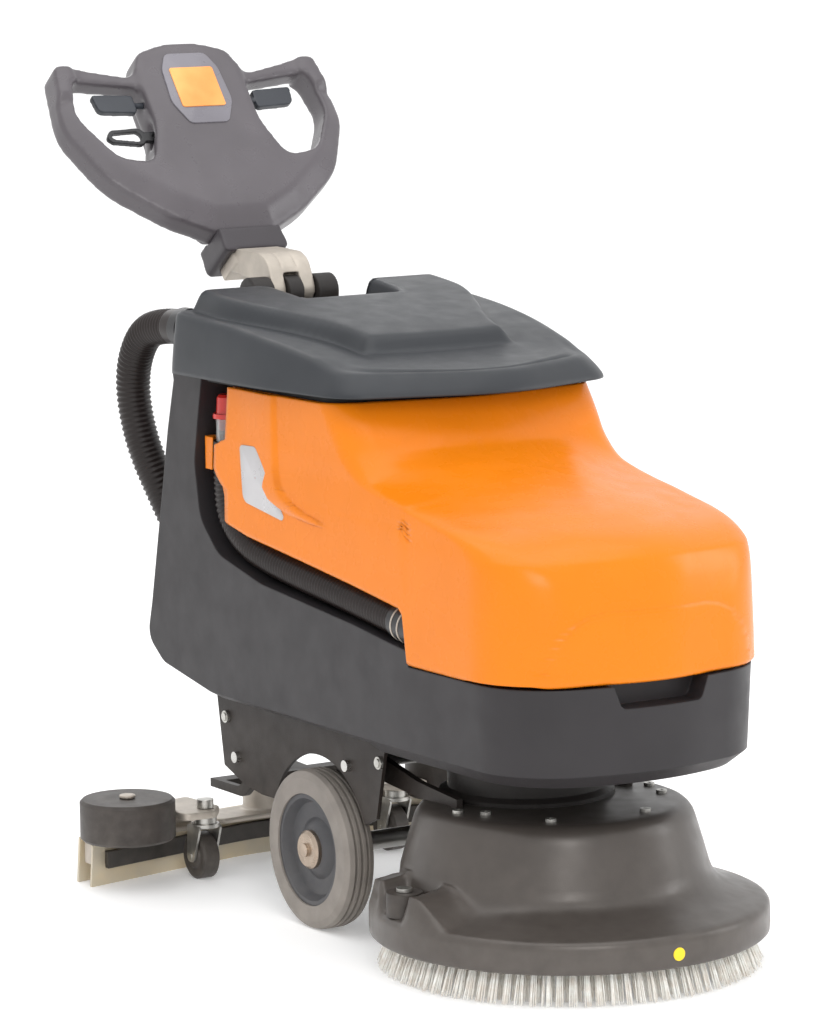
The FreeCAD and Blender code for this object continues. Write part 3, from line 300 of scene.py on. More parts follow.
def from_grid(name, rows, closed=False):
    """Mesh of quads from rows of points; closed joins each row's end to its start."""
    count = len(rows[0])
    points = [tuple(p) for row in rows for p in row]
    faces = []
    for r in range(len(rows) - 1):
        for c in range(count if closed else count - 1):
            d = (c + 1) % count
            faces.append((r * count + c, r * count + d, (r + 1) * count + d, (r + 1) * count + c))
    mesh = bpy.data.meshes.new(name)
    mesh.from_pydata(points, [], faces)
    return mesh


def baked(mesh, *modifiers):
    """The mesh after modifiers, each a (type, settings) pair, have been applied to it."""
    holder = bpy.data.objects.new("holder", mesh)
    bpy.context.scene.collection.objects.link(holder)
    for kind, settings in modifiers:
        modifier = holder.modifiers.new(kind.lower(), kind)
        for key, value in settings.items():
            setattr(modifier, key, value)
    graph = bpy.context.evaluated_depsgraph_get()
    result = bpy.data.meshes.new_from_object(holder.evaluated_get(graph))
    bpy.data.objects.remove(holder)
    return result


def face_outwards(mesh):
    """Turns the mesh so that its outer skin looks outwards."""
    middle = sum((v.co for v in mesh.vertices), Vector()) / len(mesh.vertices)
    if sum((f.center - middle).dot(f.normal) * f.area for f in mesh.polygons) < 0:
        mesh.flip_normals()


def joined(names):
    """One mesh from copies of several CAD nodes, with their seams welded."""
    work = bmesh.new()
    for name in names:
        work.from_mesh(NODES[name].data)
    bmesh.ops.remove_doubles(work, verts=work.verts, dist=WELD_REACH)
    mesh = bpy.data.meshes.new("joined")
    work.to_mesh(mesh)
    work.free()
    return mesh


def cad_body(node):
    """Body that a CAD node rides on."""
    return next(name for name, body in frame["bodies"].items() if NODES[node].parent == body)


def softened(name, nodes, slot, body, voxel, turns):
    """CAD nodes remade as one moulded skin: fine even faces, every edge rounded."""
    mesh = baked(joined(nodes), ("REMESH", dict(mode="VOXEL", voxel_size=voxel)),
                 ("SMOOTH", dict(factor=0.5, iterations=turns)))
    return piece(name, mesh, slot, body, replaced=nodes)


# ---------------------------------------------------------------- recovery tank's skin
TANK_LOW, TANK_TOP = 309.0, 549.0
TANK_REAR, TANK_HALF_REAR = 440.0, 157.0
TANK_MIDDLE = Vector((0, 250))
HOOD_ROWS = (  # height, front at the middle, front at the corners, half width, corner radius
    (309, -163, -134, 152, 80), (360, -161, -129, 152, 78), (401, -157, -121, 151.5, 70),
    (420, -152, -110, 151, 60), (428, -147, -95, 150.5, 52), (436, -138, -74, 150, 45),
    (443, -126, -45, 150, 40), (449, -108, -9, 150, 36), (455, -88, 25, 150, 34),
    (461, -60, 63, 150, 32), (468, -25, 98, 150, 32), (475, 10, 122, 150, 32),
    (484, 55, 136, 150.5, 32), (494, 98, 144, 151, 32), (503, 118, 150, 151, 32),
    (516, 130, 158, 151.5, 32), (532, 142, 169, 152, 32), (549, 152, 182, 152, 32))
# (along, height) of the foot of the left side, which rises over the hose channel
SKIRT = ((46, 309), (48, 330), (51, 357), (54, 362), (148, 375), (246, 387), (349, 399), (392, 408))
# (height, along) of the rear end of the left side
LEFT_REAR = ((309, 391), (408, 391), (437, 402), (460, 413), (486, 411), (494, 388), (545, 381),
             (560, 380))
# (height, along) of the crease on each side, behind which the side swells
CREASE = ((385, 190), (402, 236), (424, 263), (447, 282), (472, 290), (560, 290))
# (across, height) of the arched edge of the front panel
ARCH = ((-118, 309), (-115, 325), (-109, 340), (-100, 354), (-88, 364), (-74, 370), (-56, 373),
        (56, 373), (74, 370), (88, 364), (100, 354), (109, 340), (115, 325), (118, 309))
SKIN_OUT = 2.4                 # how far the skin stands off the tank's own wall
SKIN_THICK = 0.003
NOSE_RADIUS = 150
SKIRT_REACH = 165              # height above the foot over which the left side's rise fades out
ARCH_STEP, ARCH_BEAD = 1.2, 0.9    # how far the panel stands out, and the bead on its edge
CREASE_STEP = 3.0
HOOD_STEPS = ((377, 1.2), (412, 3.0), (504, 1.0), (TANK_TOP, 2.5))     # height, row's rise below it
FLANK_STEPS, BOW_STEPS = 64, 44
LIP, LIP_IN = 3.0, 1.6         # height of the foot's rounded lip, and how far it turns in


def hood_row(z):
    """Front at the middle and at the corners, half width and corner radius at a height."""
    return [monotone([(row[0], row[i]) for row in HOOD_ROWS], z) for i in (1, 2, 3, 4)]


def fillet(a, b, c, radius, steps):
    """Points of the arc that rounds the corner b between a and c."""
    back, on = (a - b).normalized(), (c - b).normalized()
    turn = math.pi - back.angle(on)
    reach = min(radius * math.tan(turn / 2), 0.48 * (a - b).length, 0.48 * (c - b).length)
    radius = reach / math.tan(turn / 2)
    centre = b + (back + on).normalized() * (radius / math.cos(turn / 2))
    start, end = b + back * reach - centre, b + on * reach - centre
    points = []
    for i in range(steps + 1):
        share = i / steps
        spread = start * math.sin((1 - share) * turn) + end * math.sin(share * turn)
        points.append(centre + spread / math.sin(turn))
    return points


def hood_half(z):
    """Half of the hood's outline at a height, from the rear of its side to its front's middle."""
    front, corner, half, radius = hood_row(z)
    rear = Vector((TANK_HALF_REAR, TANK_REAR))
    side = Vector((half, corner))
    middle = Vector((0.0, front))
    bend = fillet(rear, side, middle, radius, 18)
    flank = [rear + (bend[0] - rear) * i / FLANK_STEPS for i in range(FLANK_STEPS)]
    nose = fillet(side, middle, Vector((-half, corner)), NOSE_RADIUS, 24)[:13]
    bow = [bend[-1] + (nose[0] - bend[-1]) * i / BOW_STEPS for i in range(1, BOW_STEPS)]
    return flank + bend + bow + nose


def skin_place(p, outward, z):
    """Place of the skin's point over an outline point p, whose wall looks outward, at a height."""
    y, height = p.y, z
    if p.x < -100:
        y = p.y - (TANK_REAR - along(LEFT_REAR, z)) * smoothstep(p.y, 200, TANK_REAR)
        height += (along(SKIRT, y) - TANK_LOW) * (1 - smoothstep(z, TANK_LOW, TANK_LOW + SKIRT_REACH))
    out = SKIN_OUT
    if p.y < -60:
        inside = along(ARCH, p.x) - z
        out += ARCH_STEP * smoothstep(inside, -1.2, 1.2)
        out += ARCH_BEAD * (1 - smoothstep(abs(inside), 0, 2.0))
    behind = y - along(CREASE, z)
    on_side = (abs(p.x) > 120) * smoothstep(z, 384, 392) * smoothstep(y, 150, 200)
    out += CREASE_STEP * smoothstep(behind, -4, 1) * (1 - smoothstep(behind, 1, 75)) * on_side
    above_lip = min((z - TANK_LOW) / LIP, 1.0)
    out -= LIP_IN * (1 - math.sqrt(1 - (1 - above_lip) ** 2))
    return at(p.x + outward.x * out, y + outward.y * out, height)


def hood_skin():
    """Orange skin of the recovery tank, with its skirt, crease and arched front panel."""
    levels = [TANK_LOW]
    while levels[-1] < TANK_TOP:
        step = next(rise for below, rise in HOOD_STEPS if levels[-1] < below)
        levels.append(min(levels[-1] + step, TANK_TOP))
    rows = []
    for z in levels:
        half = hood_half(z)
        whole = half + [Vector((-p.x, p.y)) for p in reversed(half[:-1])]
        row = []
        for i, p in enumerate(whole):
            before, after = whole[max(i - 1, 0)], whole[min(i + 1, len(whole) - 1)]
            run = (after - before).normalized()
            outward = Vector((-run.y, run.x))
            if outward.dot(p - TANK_MIDDLE) < 0:
                outward = -outward
            row.append(skin_place(p, outward, z))
        rows.append(row)
    mesh = baked(from_grid("hood_skin", rows), ("SOLIDIFY", dict(thickness=SKIN_THICK, offset=-1.0)))
    if sum(f.normal.z * f.area for f in mesh.polygons) < 0:
        mesh.flip_normals()
    return piece("hood_skin", mesh, "orange_shell", "tank")


# ---------------------------------------------------------------- lid
LID_LOW = 556.0
LID_CORNERS = (                # across, along, and which way along is inwards
    (180, 474, -1), (178, 300, 0), (157, 155, 1), (0, 101, 1))
REAR_RADIUS, WAIST_RADIUS, FRONT_RADIUS = 20, 400, 48
LID_THICK = 0.0035
LID_SKIRT = (                  # how far in, and which share of the way up to the ridge
    (0.0, 0.0), (0.0, 0.08), (0.7, 0.16), (2.5, 0.30), (5.0, 0.48), (8.0, 0.66), (11.0, 0.83),
    (13.0, 0.93), (15.5, 0.99), (19.0, 1.0))
LID_SPINE = (150, 455)         # ends of the line to which the rings of the top shrink
# (along, height) of the ridge round the top, of the flat deck and of the raised panel
RIDGE = ((90, 574), (150, 576), (183, 578), (230, 590), (272, 601), (365, 611), (484, 620))
DECK = ((90, 573), (140, 577), (190, 582), (232, 590), (300, 602), (365, 611), (484, 621))
PANEL = ((200, 596), (232, 604), (300, 617), (400, 631), (484, 640))
PANEL_HALF_FRONT, PANEL_HALF_REAR = 84, 146
PANEL_FRONT, PANEL_BOW = 226, 0.0006
GROOVE_DEPTH = 2.5
WELL = (60.0, 404.0)           # half width and front of the well for the handle's arm
WELL_FLOOR, WELL_RISE = 590, 22
HINGE = (482.0, 612.0)         # axis of the lid's hinge
EYE_RADIUS = 7.5


def lid_half(inset):
    """Half of the lid's outline, set in, from the middle of its rear to its front's middle."""
    rear, side, front, middle = [Vector((x - min(inset, x), y + inset * inwards))
                                 for x, y, inwards in LID_CORNERS]
    start = Vector((0, rear.y))
    points = [start + (rear - start) * i / 40 for i in range(36)]
    points += fillet(start, rear, side, max(REAR_RADIUS - inset, 4), 8)
    first = points[-1]
    waist = fillet(rear, side, front, WAIST_RADIUS, 6)
    points += [first + (waist[0] - first) * i / 20 for i in range(1, 20)] + waist
    bend = fillet(side, front, middle, max(FRONT_RADIUS - inset * 0.4, 12), 14)
    points += [waist[-1] + (bend[0] - waist[-1]) * i / 20 for i in range(1, 20)] + bend
    nose = fillet(front, middle, Vector((-front.x, front.y)), NOSE_RADIUS, 20)[:11]
    points += [bend[-1] + (nose[0] - bend[-1]) * i / 20 for i in range(1, 20)] + nose
    return points


def lid_ring(inset):
    """Ring of the lid set in from its outline, by less towards the rear."""
    full, slight = lid_half(inset), lid_half(inset * 0.4)
    return [a.lerp(b, smoothstep(a.y, 280, 450)) for a, b in zip(full, slight)]


def lid_height(x, y):
    """Height of the lid's top: deck, raised panel with its S-shaped sides, and the well."""
    deck, panel = monotone(DECK, y), monotone(PANEL, y)
    half = PANEL_HALF_FRONT + (PANEL_HALF_REAR - PANEL_HALF_FRONT) * smoothstep(y, 236, 430)
    inside = half - abs(x)
    raised = smoothstep(inside, -7, 8) * smoothstep(y - PANEL_FRONT - PANEL_BOW * x * x, -7, 8)
    groove = GROOVE_DEPTH * smoothstep(inside, -34, -8) * (1 - smoothstep(inside, -8, 0))
    height = deck + (panel - deck) * raised - groove * smoothstep(y, 200, 236)
    floor = WELL_FLOOR + WELL_RISE * (1 - smoothstep(y, WELL[1] - 6, 450))
    dug = smoothstep(WELL[0] - abs(x), -3, 4) * smoothstep(y - WELL[1], -8, 8)
    return height + (min(floor, height) - height) * dug


def lid_skin():
    """Lid: sloped skirt that rises to a ridge, then the top; its rings shrink to a spine."""
    rows = []
    for inset, share in LID_SKIRT:
        row = []
        for p in lid_ring(inset):
            ridge = min(monotone(RIDGE, p.y), lid_height(p.x, p.y))
            row.append(at(p.x, p.y, LID_LOW + (ridge - LID_LOW) * share))
        rows.append(row)
    rim = lid_ring(LID_SKIRT[-1][0])
    for step in range(1, 61):
        share = step / 60
        row = []
        for edge in rim:
            spine = Vector((0.0, min(max(edge.y, LID_SPINE[0]), LID_SPINE[1])))
            p = edge + (spine - edge) * share
            edge_height = min(monotone(RIDGE, edge.y), lid_height(edge.x, edge.y))
            blend = smoothstep(share, 0.0, 0.12)
            height = edge_height + (lid_height(p.x, p.y) - edge_height) * blend
            row.append(at(p.x, p.y, height))
        rows.append(row)
    mirrored = [[Vector((-p.x, p.y, p.z)) for p in row] for row in rows]
    whole = [row + other[::-1][1:] for row, other in zip(rows, mirrored)]
    mesh = baked(from_grid("lid_skin", whole), ("WELD", dict(merge_threshold=0.0004)),
                 ("SMOOTH", dict(factor=0.5, iterations=3)),
                 ("SOLIDIFY", dict(thickness=LID_THICK, offset=-1.0)))
    if sum(f.normal.z * f.area for f in mesh.polygons if f.center.z > 0.6) < 0:
        mesh.flip_normals()
    return piece("lid_skin", mesh, "lid_shell", "lid", replaced=["lid"])


def lid_knuckles():
    """The lid's two hinge eyes, each with a web down to the lid, about the hinge's axis."""
    outline = [(EYE_RADIUS * math.cos(t), EYE_RADIUS * math.sin(t))
               for t in (math.radians(-20 + 220 * i / 24) for i in range(25))]
    outline += [(-9.0, -10.0), (-10.0, -20.0), (8.0, -20.0), (EYE_RADIUS, -10.0)]
    for name, low, high in (("left", -68.5, -61.0), ("right", 61.0, 68.5)):
        rows = []
        for x, shrink in ((low, 0.0), (low, 0.94), (low + 0.5, 1.0), (high - 0.5, 1.0), (high, 0.94),
                          (high, 0.0)):
            rows.append([at(x, HINGE[0] + a * shrink, HINGE[1] + b * shrink) for a, b in outline])
        mesh = from_grid("lid_knuckle", rows, closed=True)
        face_outwards(mesh)
        piece("lid_knuckle_%s" % name, mesh, "lid_shell", "lid")


# ---------------------------------------------------------------- deck cover
DECK_PROFILE = (               # radius, height, how far the ring's centre lies behind the brush's axis
    (194, 33, 0), (196.6, 33.2, 0), (198.4, 35, 0), (198.8, 40, 0), (198.8, 56, 0),
    (198.2, 60.5, 0), (196.0, 63.6, 0), (192.5, 65.4, 0), (188, 66.6, 1), (178, 69.6, 4),
    (168, 73.4, 9), (162.5, 77.0, 14), (158.5, 81.5, 19), (155.6, 88, 23), (153.6, 96, 25),
    (148.0, 116, 25), (142.0, 136, 25), (140.0, 142.5, 25), (138.0, 147.6, 25),
    (134.6, 152.6, 25), (130.4, 156.2, 25), (125.6, 158.2, 25), (118, 158.9, 25),
    (100, 159.2, 25), (60, 159.2, 25), (20, 159.2, 25), (2, 159.2, 25))
DECK_THICK = 0.0035
DECK_SIDES = 240
RAISE, WAVE = 30, 4            # height of the shoulder on the left, and of its waves


def raised_side(x, y, radius, height):
    """How much higher the deck cover stands on its left, where it has a wavy shoulder and a notch."""
    if height <= 60:
        return 0.0
    side = smoothstep(-x, 128, 152) * smoothstep(y, -62, -18) * (1 - smoothstep(y, 82, 128))
    notch = smoothstep(y, -10, 1) * (1 - smoothstep(y, 43, 54)) * smoothstep(-x, 150, 158)
    wave = RAISE + WAVE * math.sin(y / 19.0)
    reach = smoothstep(radius, 150, 156) * (1 - smoothstep(radius, 193.0, 198.0))
    return side * (1 - notch) * reach * wave * max(0.0, 1 - (height - 62) / 44)


def deck_skin():
    """Spun deck cover: rim, sloping flange, concave step, dome set back over the drive."""
    fine = []
    for first, second in zip(DECK_PROFILE, DECK_PROFILE[1:]):
        steps = max(1, round(math.dist(first, second) / 4))
        fine += [tuple(a + (b - a) * i / steps for a, b in zip(first, second)) for i in range(steps)]
    rows = []
    for radius, height, behind in [*fine, DECK_PROFILE[-1]]:
        row = []
        for i in range(DECK_SIDES):
            angle = i * math.tau / DECK_SIDES
            x, y = radius * math.cos(angle), radius * math.sin(angle) + behind
            row.append(at(x, y, height + raised_side(x, y, radius, height)))
        rows.append(row)
    mesh = baked(from_grid("deck_cover", rows, closed=True),
                 ("SOLIDIFY", dict(thickness=DECK_THICK, offset=-1.0)))
    face_outwards(mesh)
    return piece("deck_cover", mesh, "deck_cover", "deck", replaced=["deck_housing"])


def dot(name, centre, axis, radius, depth, slot, body, material):
    """Small round dot with a rounded rim, standing on its foot."""
    profile = [(radius, 0.0), (radius, depth * 0.55), (radius * 0.97, depth * 0.8),
               (radius * 0.90, depth * 0.95), (radius * 0.80, depth), (0.001, depth)]
    axis = Vector(axis).normalized()
    across = axis.orthogonal().normalized()
    other = axis.cross(across)
    rows = []
    for r, z in profile:
        rows.append([centre + (across * math.cos(t) + other * math.sin(t)) * r * MM + axis * z * MM
                     for t in (k * math.tau / 40 for k in range(40))])
    mesh = from_grid(name, rows, closed=True)
    face_outwards(mesh)
    return piece(name, mesh, slot, body, material=material)


# ---------------------------------------------------------------- bristles
TUFT_RINGS = (                 # radius, outward lean at the tip, tufts, shift in shares of a tuft
    (171.0, 16.0, 88, 0.0), (159.0, 13.0, 82, 0.5), (120.0, 6.0, 54, 0.2), (90.0, 3.0, 40, 0.0))
TUFT_FILAMENTS = 15
TUFT_RADIUS = 2.6
ROOT_HEIGHT = 41
FILAMENT_RADIUS = 0.62


def bristle_ring():
    """Tufts of bristles in rings, splayed towards the floor."""
    chance = random.Random(7)
    points, faces = [], []

    def filament(root, tip, thick):
        """One bristle of five sides, bowed a little and thinner at its tip."""
        run = (tip - root).normalized()
        across = run.orthogonal().normalized()
        other = run.cross(across)
        first = len(points)
        middle = root.lerp(tip, 0.55) + Vector((0, 0, 1.2))
        for centre, radius in ((root, thick), (middle, thick), (tip, thick * 0.75)):
            for k in range(5):
                angle = k * math.tau / 5
                around = across * math.cos(angle) + other * math.sin(angle)
                points.append(at(*(centre + around * radius)))
        for ring in range(2):
            for k in range(5):
                low, high = first + ring * 5, first + ring * 5 + 5
                faces.append((low + k, low + (k + 1) % 5, high + (k + 1) % 5, high + k))
        faces.append(tuple(first + 10 + k for k in range(5)))

    for ring_radius, lean, count, offset in TUFT_RINGS:
        for i in range(count):
            angle = (i + offset) * math.tau / count
            outwards = Vector((math.cos(angle), math.sin(angle), 0))
            aside = Vector((-outwards.y, outwards.x, 0))
            for _ in range(TUFT_FILAMENTS):
                spot = TUFT_RADIUS * math.sqrt(chance.random())
                spin = chance.random() * math.tau
                shift = outwards * (spot * math.cos(spin)) + aside * (spot * math.sin(spin))
                root = outwards * ring_radius + shift + Vector((0, 0, ROOT_HEIGHT))
                spread = 1.9 + chance.uniform(-0.25, 0.25)
                tip = outwards * (ring_radius + lean + chance.uniform(-0.8, 0.8)) + shift * spread
                tip.z = chance.uniform(0.3, 1.6)
                filament(root, tip, FILAMENT_RADIUS)
    mesh = bpy.data.meshes.new("bristle_tufts")
    mesh.from_pydata(points, [], faces)
    return piece("bristle_tufts", mesh, "bristle", "brush", replaced=["bristles"])


# ---------------------------------------------------------------- hoses
RIB_ROWS = 6                   # rows of points in one rib
HOSE_SIDES = 32
HOSE_WALL = 0.0022
# the suction hose from its elbow to the nozzle, and the drain hose from its cuff to the sleeve
HOSE_ROUTE = [(-120, 546, 594), (-120, 585, 594), (-119, 640, 581), (-118, 672, 530),
              (-112, 664, 462), (-98, 636, 400), (-78, 612, 336), (-52, 604, 272),
              (-22, 604, 216), (0, 596, 168), (0, 596, 122.3)]
DRAIN_ROUTE = [(-138, 86, 344), (-138, 140, 351), (-137, 205, 358), (-136, 268, 364),
               (-135, 330, 371), (-135, 385, 382), (-135, 423, 408), (-134, 431, 446),
               (-134, 428, 486)]


def route_points(name, route):
    """Points along a smooth curve through the route's runs, end to end."""
    curve = bpy.data.curves.new(name, "CURVE")
    curve.dimensions = "3D"
    curve.resolution_u = 24
    spline = curve.splines.new("NURBS")
    spline.points.add(len(route) - 1)
    for point, place in zip(spline.points, route):
        point.co = (*at(*place), 1.0)
    spline.order_u = 3
    spline.use_endpoint_u = True
    holder = bpy.data.objects.new(name, curve)
    bpy.context.scene.collection.objects.link(holder)
    graph = bpy.context.evaluated_depsgraph_get()
    line = bpy.data.meshes.new_from_object(holder.evaluated_get(graph))
    points = [v.co.copy() for v in line.vertices]
    bpy.data.objects.remove(holder)
    return points


def ribbed(name, points, radius, pitch, depth, cuffs):
    """Hose with fine round ribs along points; cuffs at its ends stay smooth (lengths in mm)."""
    lengths = [0.0]
    for a, b in zip(points, points[1:]):
        lengths.append(lengths[-1] + (b - a).length / MM)
    total = lengths[-1]
    steps = round(total / pitch) * RIB_ROWS
    rows, seat, side = [], 0, None
    for i in range(steps + 1):
        reach = total * i / steps
        while seat < len(points) - 2 and lengths[seat + 1] < reach:
            seat += 1
        share = (reach - lengths[seat]) / (lengths[seat + 1] - lengths[seat])
        centre = points[seat].lerp(points[seat + 1], share)
        before, after = points[max(seat - 1, 0)], points[min(seat + 2, len(points) - 1)]
        run = (after - before).normalized()
        side = side or Vector((1, 0, 0))
        side = (side - run * side.dot(run)).normalized()
        other = run.cross(side)
        plain = reach < cuffs[0] or reach > total - cuffs[1]
        turn = math.tau * (i % RIB_ROWS) / RIB_ROWS
        valley = 0.0 if plain else depth * (0.5 - 0.5 * math.cos(turn)) ** 0.8
        size = (radius - valley) * MM
        rows.append([centre + (side * math.cos(t) + other * math.sin(t)) * size
                     for t in (k * math.tau / HOSE_SIDES for k in range(HOSE_SIDES))])
    mesh = baked(from_grid(name, rows, closed=True),
                 ("SOLIDIFY", dict(thickness=HOSE_WALL, offset=-1.0)))
    face_outwards(mesh)
    return mesh


def ring_round(name, start, run, radius, thick, slot, body, material):
    """Thin raised ring about a straight run, at its start."""
    side = run.orthogonal().normalized()
    other = run.cross(side)
    rows = []
    for k in range(12):
        turn = k * math.tau / 12
        size = (radius + thick * math.cos(turn)) * MM
        shift = run * (thick * 1.2 * math.sin(turn) * MM)
        rows.append([start + shift + (side * math.cos(t) + other * math.sin(t)) * size
                     for t in (j * math.tau / 48 for j in range(48))])
    rows.append(rows[0])
    mesh = from_grid(name, rows, closed=True)
    face_outwards(mesh)
    return piece(name, mesh, slot, body, material=material)


def hoses():
    """Suction hose, and the drain hose with its cuff."""
    points = route_points("suction_route", HOSE_ROUTE)
    mesh = ribbed("suction_hose", points, 19.0, 6.0, 1.6, (22, 24))
    hose = bpy.data.objects.new("suction_hose", mesh)
    bpy.context.scene.collection.objects.link(hose)
    mesh.materials.append(MATERIALS["hose"])
    for face in mesh.polygons:
        face.use_smooth = True
    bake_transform(hose)
    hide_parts("vacuum_hose")

    drain = route_points("drain_route", DRAIN_ROUTE)
    piece("drain_tube", ribbed("drain_tube", drain, 17.0, 5.4, 1.5, (3, 8)), "hose", "tank",
          replaced=["drain_hose"])
    run = (at(*DRAIN_ROUTE[0]) - at(*DRAIN_ROUTE[1])).normalized()
    for i, back in enumerate((9, 21)):
        start = at(*DRAIN_ROUTE[0]) + run * back * MM
        ring_round("cuff_ring_%d" % i, start, run, 18.2, 0.9, "hose", "tank",
                   MATERIALS["cast_light"])


SLEEVE_FOOT = at(-134, 428, 486)
SLEEVE_RADIUS = 0.0145
CLIP_LOW = at(0, 400, 455)     # the clip and the sleeve lie behind and above this place


def fittings_paint():
    """The drain fittings' three solids: dark cuff, orange clip, clear sleeve."""
    mesh = NODES["drain_fittings"].data
    for material in (MATERIALS["orange_shell"], CLEAR):
        mesh.materials.append(material)
    for face in mesh.polygons:
        centre = NODES["drain_fittings"].matrix_world @ face.center
        if centre.y > CLIP_LOW.y and centre.z > CLIP_LOW.z:
            reach = (centre - SLEEVE_FOOT).xy.length
            sleeve = centre.z > SLEEVE_FOOT.z - 1e-4 and reach < SLEEVE_RADIUS
            face.material_index = 2 if sleeve else 1


# ---------------------------------------------------------------- handle
LEAN = math.radians(38.0)      # how far the handle leans back from upright
CROWN_FALL = 9.0               # how far the yoke's face falls away at its rim
CROWN_REACH = 30
YOKE_BACK, YOKE_FACE = -24, -2     # the fall fades in between these depths
HANDLE_FOOT = (594, 671)       # along and up: where the handle's face starts


def on_handle(across, up, out=0.0):
    """Point of the handle: across, up along it, out of its front face."""
    return at(across, HANDLE_FOOT[0] + up * math.sin(LEAN) - out * math.cos(LEAN),
              HANDLE_FOOT[1] + up * math.cos(LEAN) + out * math.sin(LEAN))


# half of the yoke's outline: across, up, corner radius
YOKE = ((36, 27, 8), (84, 52, 120), (142, 98, 90), (176, 168, 60), (164, 249, 10), (150, 250, 6),
        (70, 231, 14), (56, 262, 16), (20, 272, 60))


def distance_to_run(point, a, b):
    """Distance from a point to a straight run, all on one plane."""
    run = b - a
    share = min(1.0, max(0.0, (point - a).dot(run) / max(run.length_squared, 1e-9)))
    return (point - a - run * share).length


def crowned(yoke):
    """Lets the yoke's front face fall away towards its rim."""
    corners = [Vector((a, b)) for a, b, _ in YOKE]
    corners += [Vector((-c.x, c.y)) for c in reversed(corners)]
    radii = [r for _, _, r in YOKE]
    radii += radii[::-1]
    outline = []
    for i, here in enumerate(corners):
        outline += fillet(corners[i - 1], here, corners[(i + 1) % len(corners)], radii[i], 6)
    up = Vector((0, math.sin(LEAN), math.cos(LEAN)))
    out = Vector((0, -math.cos(LEAN), math.sin(LEAN)))
    start = on_handle(0, 0)
    for vertex in yoke.data.vertices:
        reach = vertex.co - start
        height, depth = reach.dot(up) / MM, reach.dot(out) / MM
        if depth < YOKE_BACK:
            continue
        spot = Vector((vertex.co.x / MM, height))
        edge = min(distance_to_run(spot, a, b) for a, b in zip(outline, outline[1:] + outline[:1]))
        front = smoothstep(depth, YOKE_BACK, YOKE_FACE)
        below_grips = 1 - smoothstep(height, 200, 215)
        fall = CROWN_FALL * (1 - smoothstep(edge, 0, CROWN_REACH)) * front * below_grips
        vertex.co -= out * fall * MM


def handle():
    """Moulded yoke, neck and cast arm, each with its edges rounded."""
    yoke = softened("yoke", ["handle_front_shell", "handle_back_shell"], "grey_shell", "handle",
                    0.0021, 40)
    crowned(yoke)
    softened("neck", ["neck_shell"], "grey_shell_dark", "handle", 0.0015, 10)
    softened("arm_casting", ["handle_arm"], "cast_light", "handle", 0.0013, 7)
    softened("bracket_casting", ["handle_bracket"], "cast_dark", "chassis", 0.0015, 5)
    softened("lever_casting", ["release_lever"], "black_plastic", "release_lever", 0.0008, 4)
    for side in ("right", "left"):
        softened("%s_paddle_moulding" % side, ["%s_paddle" % side], "paddle",
                 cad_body("%s_paddle" % side), 0.0009, 6)


def squeegee():
    """Cast parts of the squeegee with rounded edges."""
    for side in ("left", "right"):
        softened("bracket_%s" % side, ["roller_bracket_%s" % side], "cast_light",
                 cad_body("roller_bracket_%s" % side), 0.0014, 5)
    softened("bar_casting", ["squeegee_bar"], "cast_light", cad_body("squeegee_bar"), 0.0016, 4)


# ---------------------------------------------------------------- plates
def plate(name, outline, place, thick, slot, body, replaced):
    """Thin plate with eased edges; place(a, b, depth) puts its outline in space."""
    points = []
    count = len(outline)
    for i, (a, b, radius) in enumerate(outline):
        here = Vector((a, b))
        before = Vector(outline[i - 1][:2])
        after = Vector(outline[(i + 1) % count][:2])
        points += fillet(before, here, after, radius, 8)
    middle = sum(points, Vector((0.0, 0.0))) / len(points)
    rows = []
    for shrink, depth in ((0.0, 0.0), (0.0, thick - 0.5), (0.15, thick - 0.15), (0.5, thick)):
        rows.append([place(*(p + (middle - p).normalized() * shrink), depth) for p in points])
    rows.append([place(*(p.lerp(middle, 0.98)), thick) for p in points])
    mesh = from_grid(name, rows, closed=True)
    face_outwards(mesh)
    return piece(name, mesh, slot, body, replaced=replaced)


FLANK_FRONT, FLANK_FRONT_HALF = 180, 151.5
DECK_WALL = 198.6              # radius of the deck cover's rim, for the dot
DOT_ANGLE = math.radians(-92)
PLATE_FOOT = 5.0               # how far the flank plate's back stands off the tank's own wall


def on_flank(y, z, depth):
    """Point outside the tank's left flank, which widens a little towards the rear."""
    share = (y - FLANK_FRONT) / (TANK_REAR - FLANK_FRONT)
    half = FLANK_FRONT_HALF + (TANK_HALF_REAR - FLANK_FRONT_HALF) * share
    return at(-half - PLATE_FOOT - depth, y, z)


def trims():
    """Plain inlay on the hub, plain plate on the flank, dot on the deck."""
    inlay = [(24, 163, 9), (38, 192, 26), (35, 236, 26), (25, 256, 10)]
    outline = inlay + [(-a, b, r) for a, b, r in reversed(inlay)]
    plate("hub_inlay", outline, on_handle, 1.6, "inlay", "handle", replaced=["panel_inlay"])
    flank = [(356, 492, 5), (326, 493, 8), (267, 421, 4), (351, 434, 12)]
    plate("flank_plate", flank, on_flank, 3.4, "badge", "tank", replaced=["side_badge"])
    outwards = Vector((math.cos(DOT_ANGLE), math.sin(DOT_ANGLE), 0))
    place = at(DECK_WALL * outwards.x, DECK_WALL * outwards.y, 47)
    dot("deck_dot", place, outwards, 6.5, 0.9, "badge_orange", "deck", YELLOW)


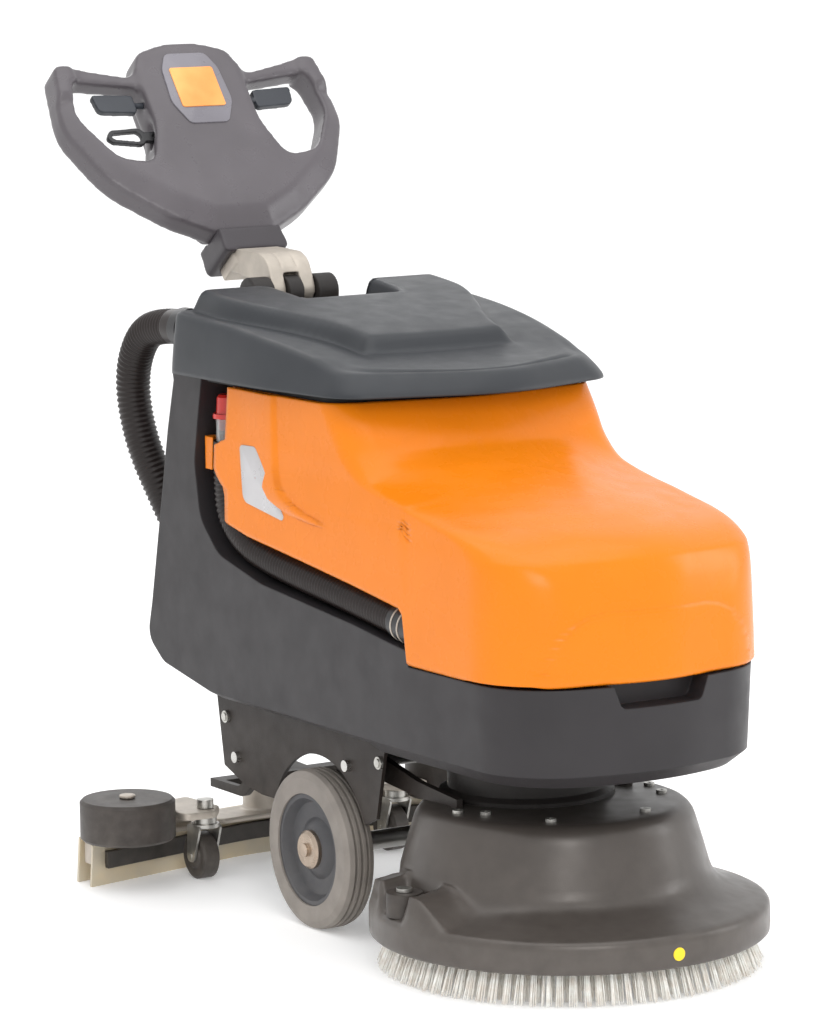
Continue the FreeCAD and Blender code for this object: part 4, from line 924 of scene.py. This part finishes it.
# ---------------------------------------------------------------- camera, light, floor
def camera():
    """Camera of the front view: long lens, a little above the machine, turned to its left front."""
    turn, tilt, roll = math.radians(-31.858), math.radians(8.312), math.radians(-0.749)
    back = Vector((math.sin(turn) * math.cos(tilt), -math.cos(turn) * math.cos(tilt),
                   math.sin(tilt)))
    right = Vector((math.cos(turn), math.sin(turn), 0))
    up = back.cross(right)
    across = right * math.cos(roll) + up * math.sin(roll)
    upright = up * math.cos(roll) - right * math.sin(roll)
    data = bpy.data.cameras.new("camera")
    data.lens = 159.7
    data.sensor_width = 36
    made = bpy.data.objects.new("camera", data)
    place = Matrix((across, upright, back)).transposed().to_4x4()
    place.translation = Vector((-2.447, -3.9595, 1.094))
    made.matrix_world = place
    bpy.context.scene.collection.objects.link(made)
    bpy.context.scene.camera = made


def area_light(name, place, target, size, power, colour=(1.0, 1.0, 1.0)):
    """Soft panel of light that looks at its target."""
    data = bpy.data.lights.new(name, "AREA")
    data.shape = "RECTANGLE"
    data.size, data.size_y = size
    data.energy = power
    data.color = colour
    made = bpy.data.objects.new(name, data)
    bpy.context.scene.collection.objects.link(made)
    made.location = place
    made.rotation_euler = (Vector(target) - Vector(place)).to_track_quat("-Z", "Y").to_euler()


FLOOR_HALF = 90
FLOOR_GLOW = 0.22


def studio():
    """White room: bright even surroundings, four soft panels of light and a pale floor."""
    scene = bpy.context.scene
    world = bpy.data.worlds.new("studio")
    world.use_nodes = True
    background = world.node_tree.nodes["Background"]
    background.inputs["Color"].default_value = (1.0, 1.0, 1.0, 1.0)
    background.inputs["Strength"].default_value = 1.0
    scene.world = world
    scene.view_settings.view_transform = "Standard"
    area_light("overhead", (-0.2, -0.3, 2.6), (0, 0, 0.4), (2.4, 2.4), 22)
    area_light("front", (-1.2, -3.2, 1.9), (0, 0, 0.35), (1.3, 1.3), 26, (1.0, 0.985, 0.965))
    area_light("right", (2.6, -1.4, 1.3), (0, 0, 0.4), (0.8, 1.6), 14, (0.97, 0.985, 1.0))
    area_light("rear", (0.6, 2.8, 2.0), (0, 0, 0.5), (1.6, 1.2), 12)

    floor = bpy.data.meshes.new("floor")
    corners = [(-1, -1), (1, -1), (1, 1), (-1, 1)]
    floor.from_pydata([(x * FLOOR_HALF, y * FLOOR_HALF, 0) for x, y in corners], [], [(0, 1, 2, 3)])
    white = shader("floor", (0.93, 0.93, 0.93), roughness=0.7, mottle=0.004, mottle_scale=1.0)
    surface = white.node_tree.nodes["Principled BSDF"]
    surface.inputs["Emission Color"].default_value = (1, 1, 1, 1)
    surface.inputs["Emission Strength"].default_value = FLOOR_GLOW
    floor.materials.append(white)
    made = bpy.data.objects.new("floor", floor)
    scene.collection.objects.link(made)


# ---------------------------------------------------------------- whole machine
paint_nodes()
fittings_paint()
hood_skin()
lid_skin()
lid_knuckles()
deck_skin()
bristle_ring()
hoses()
handle()
squeegee()
trims()
camera()
studio()
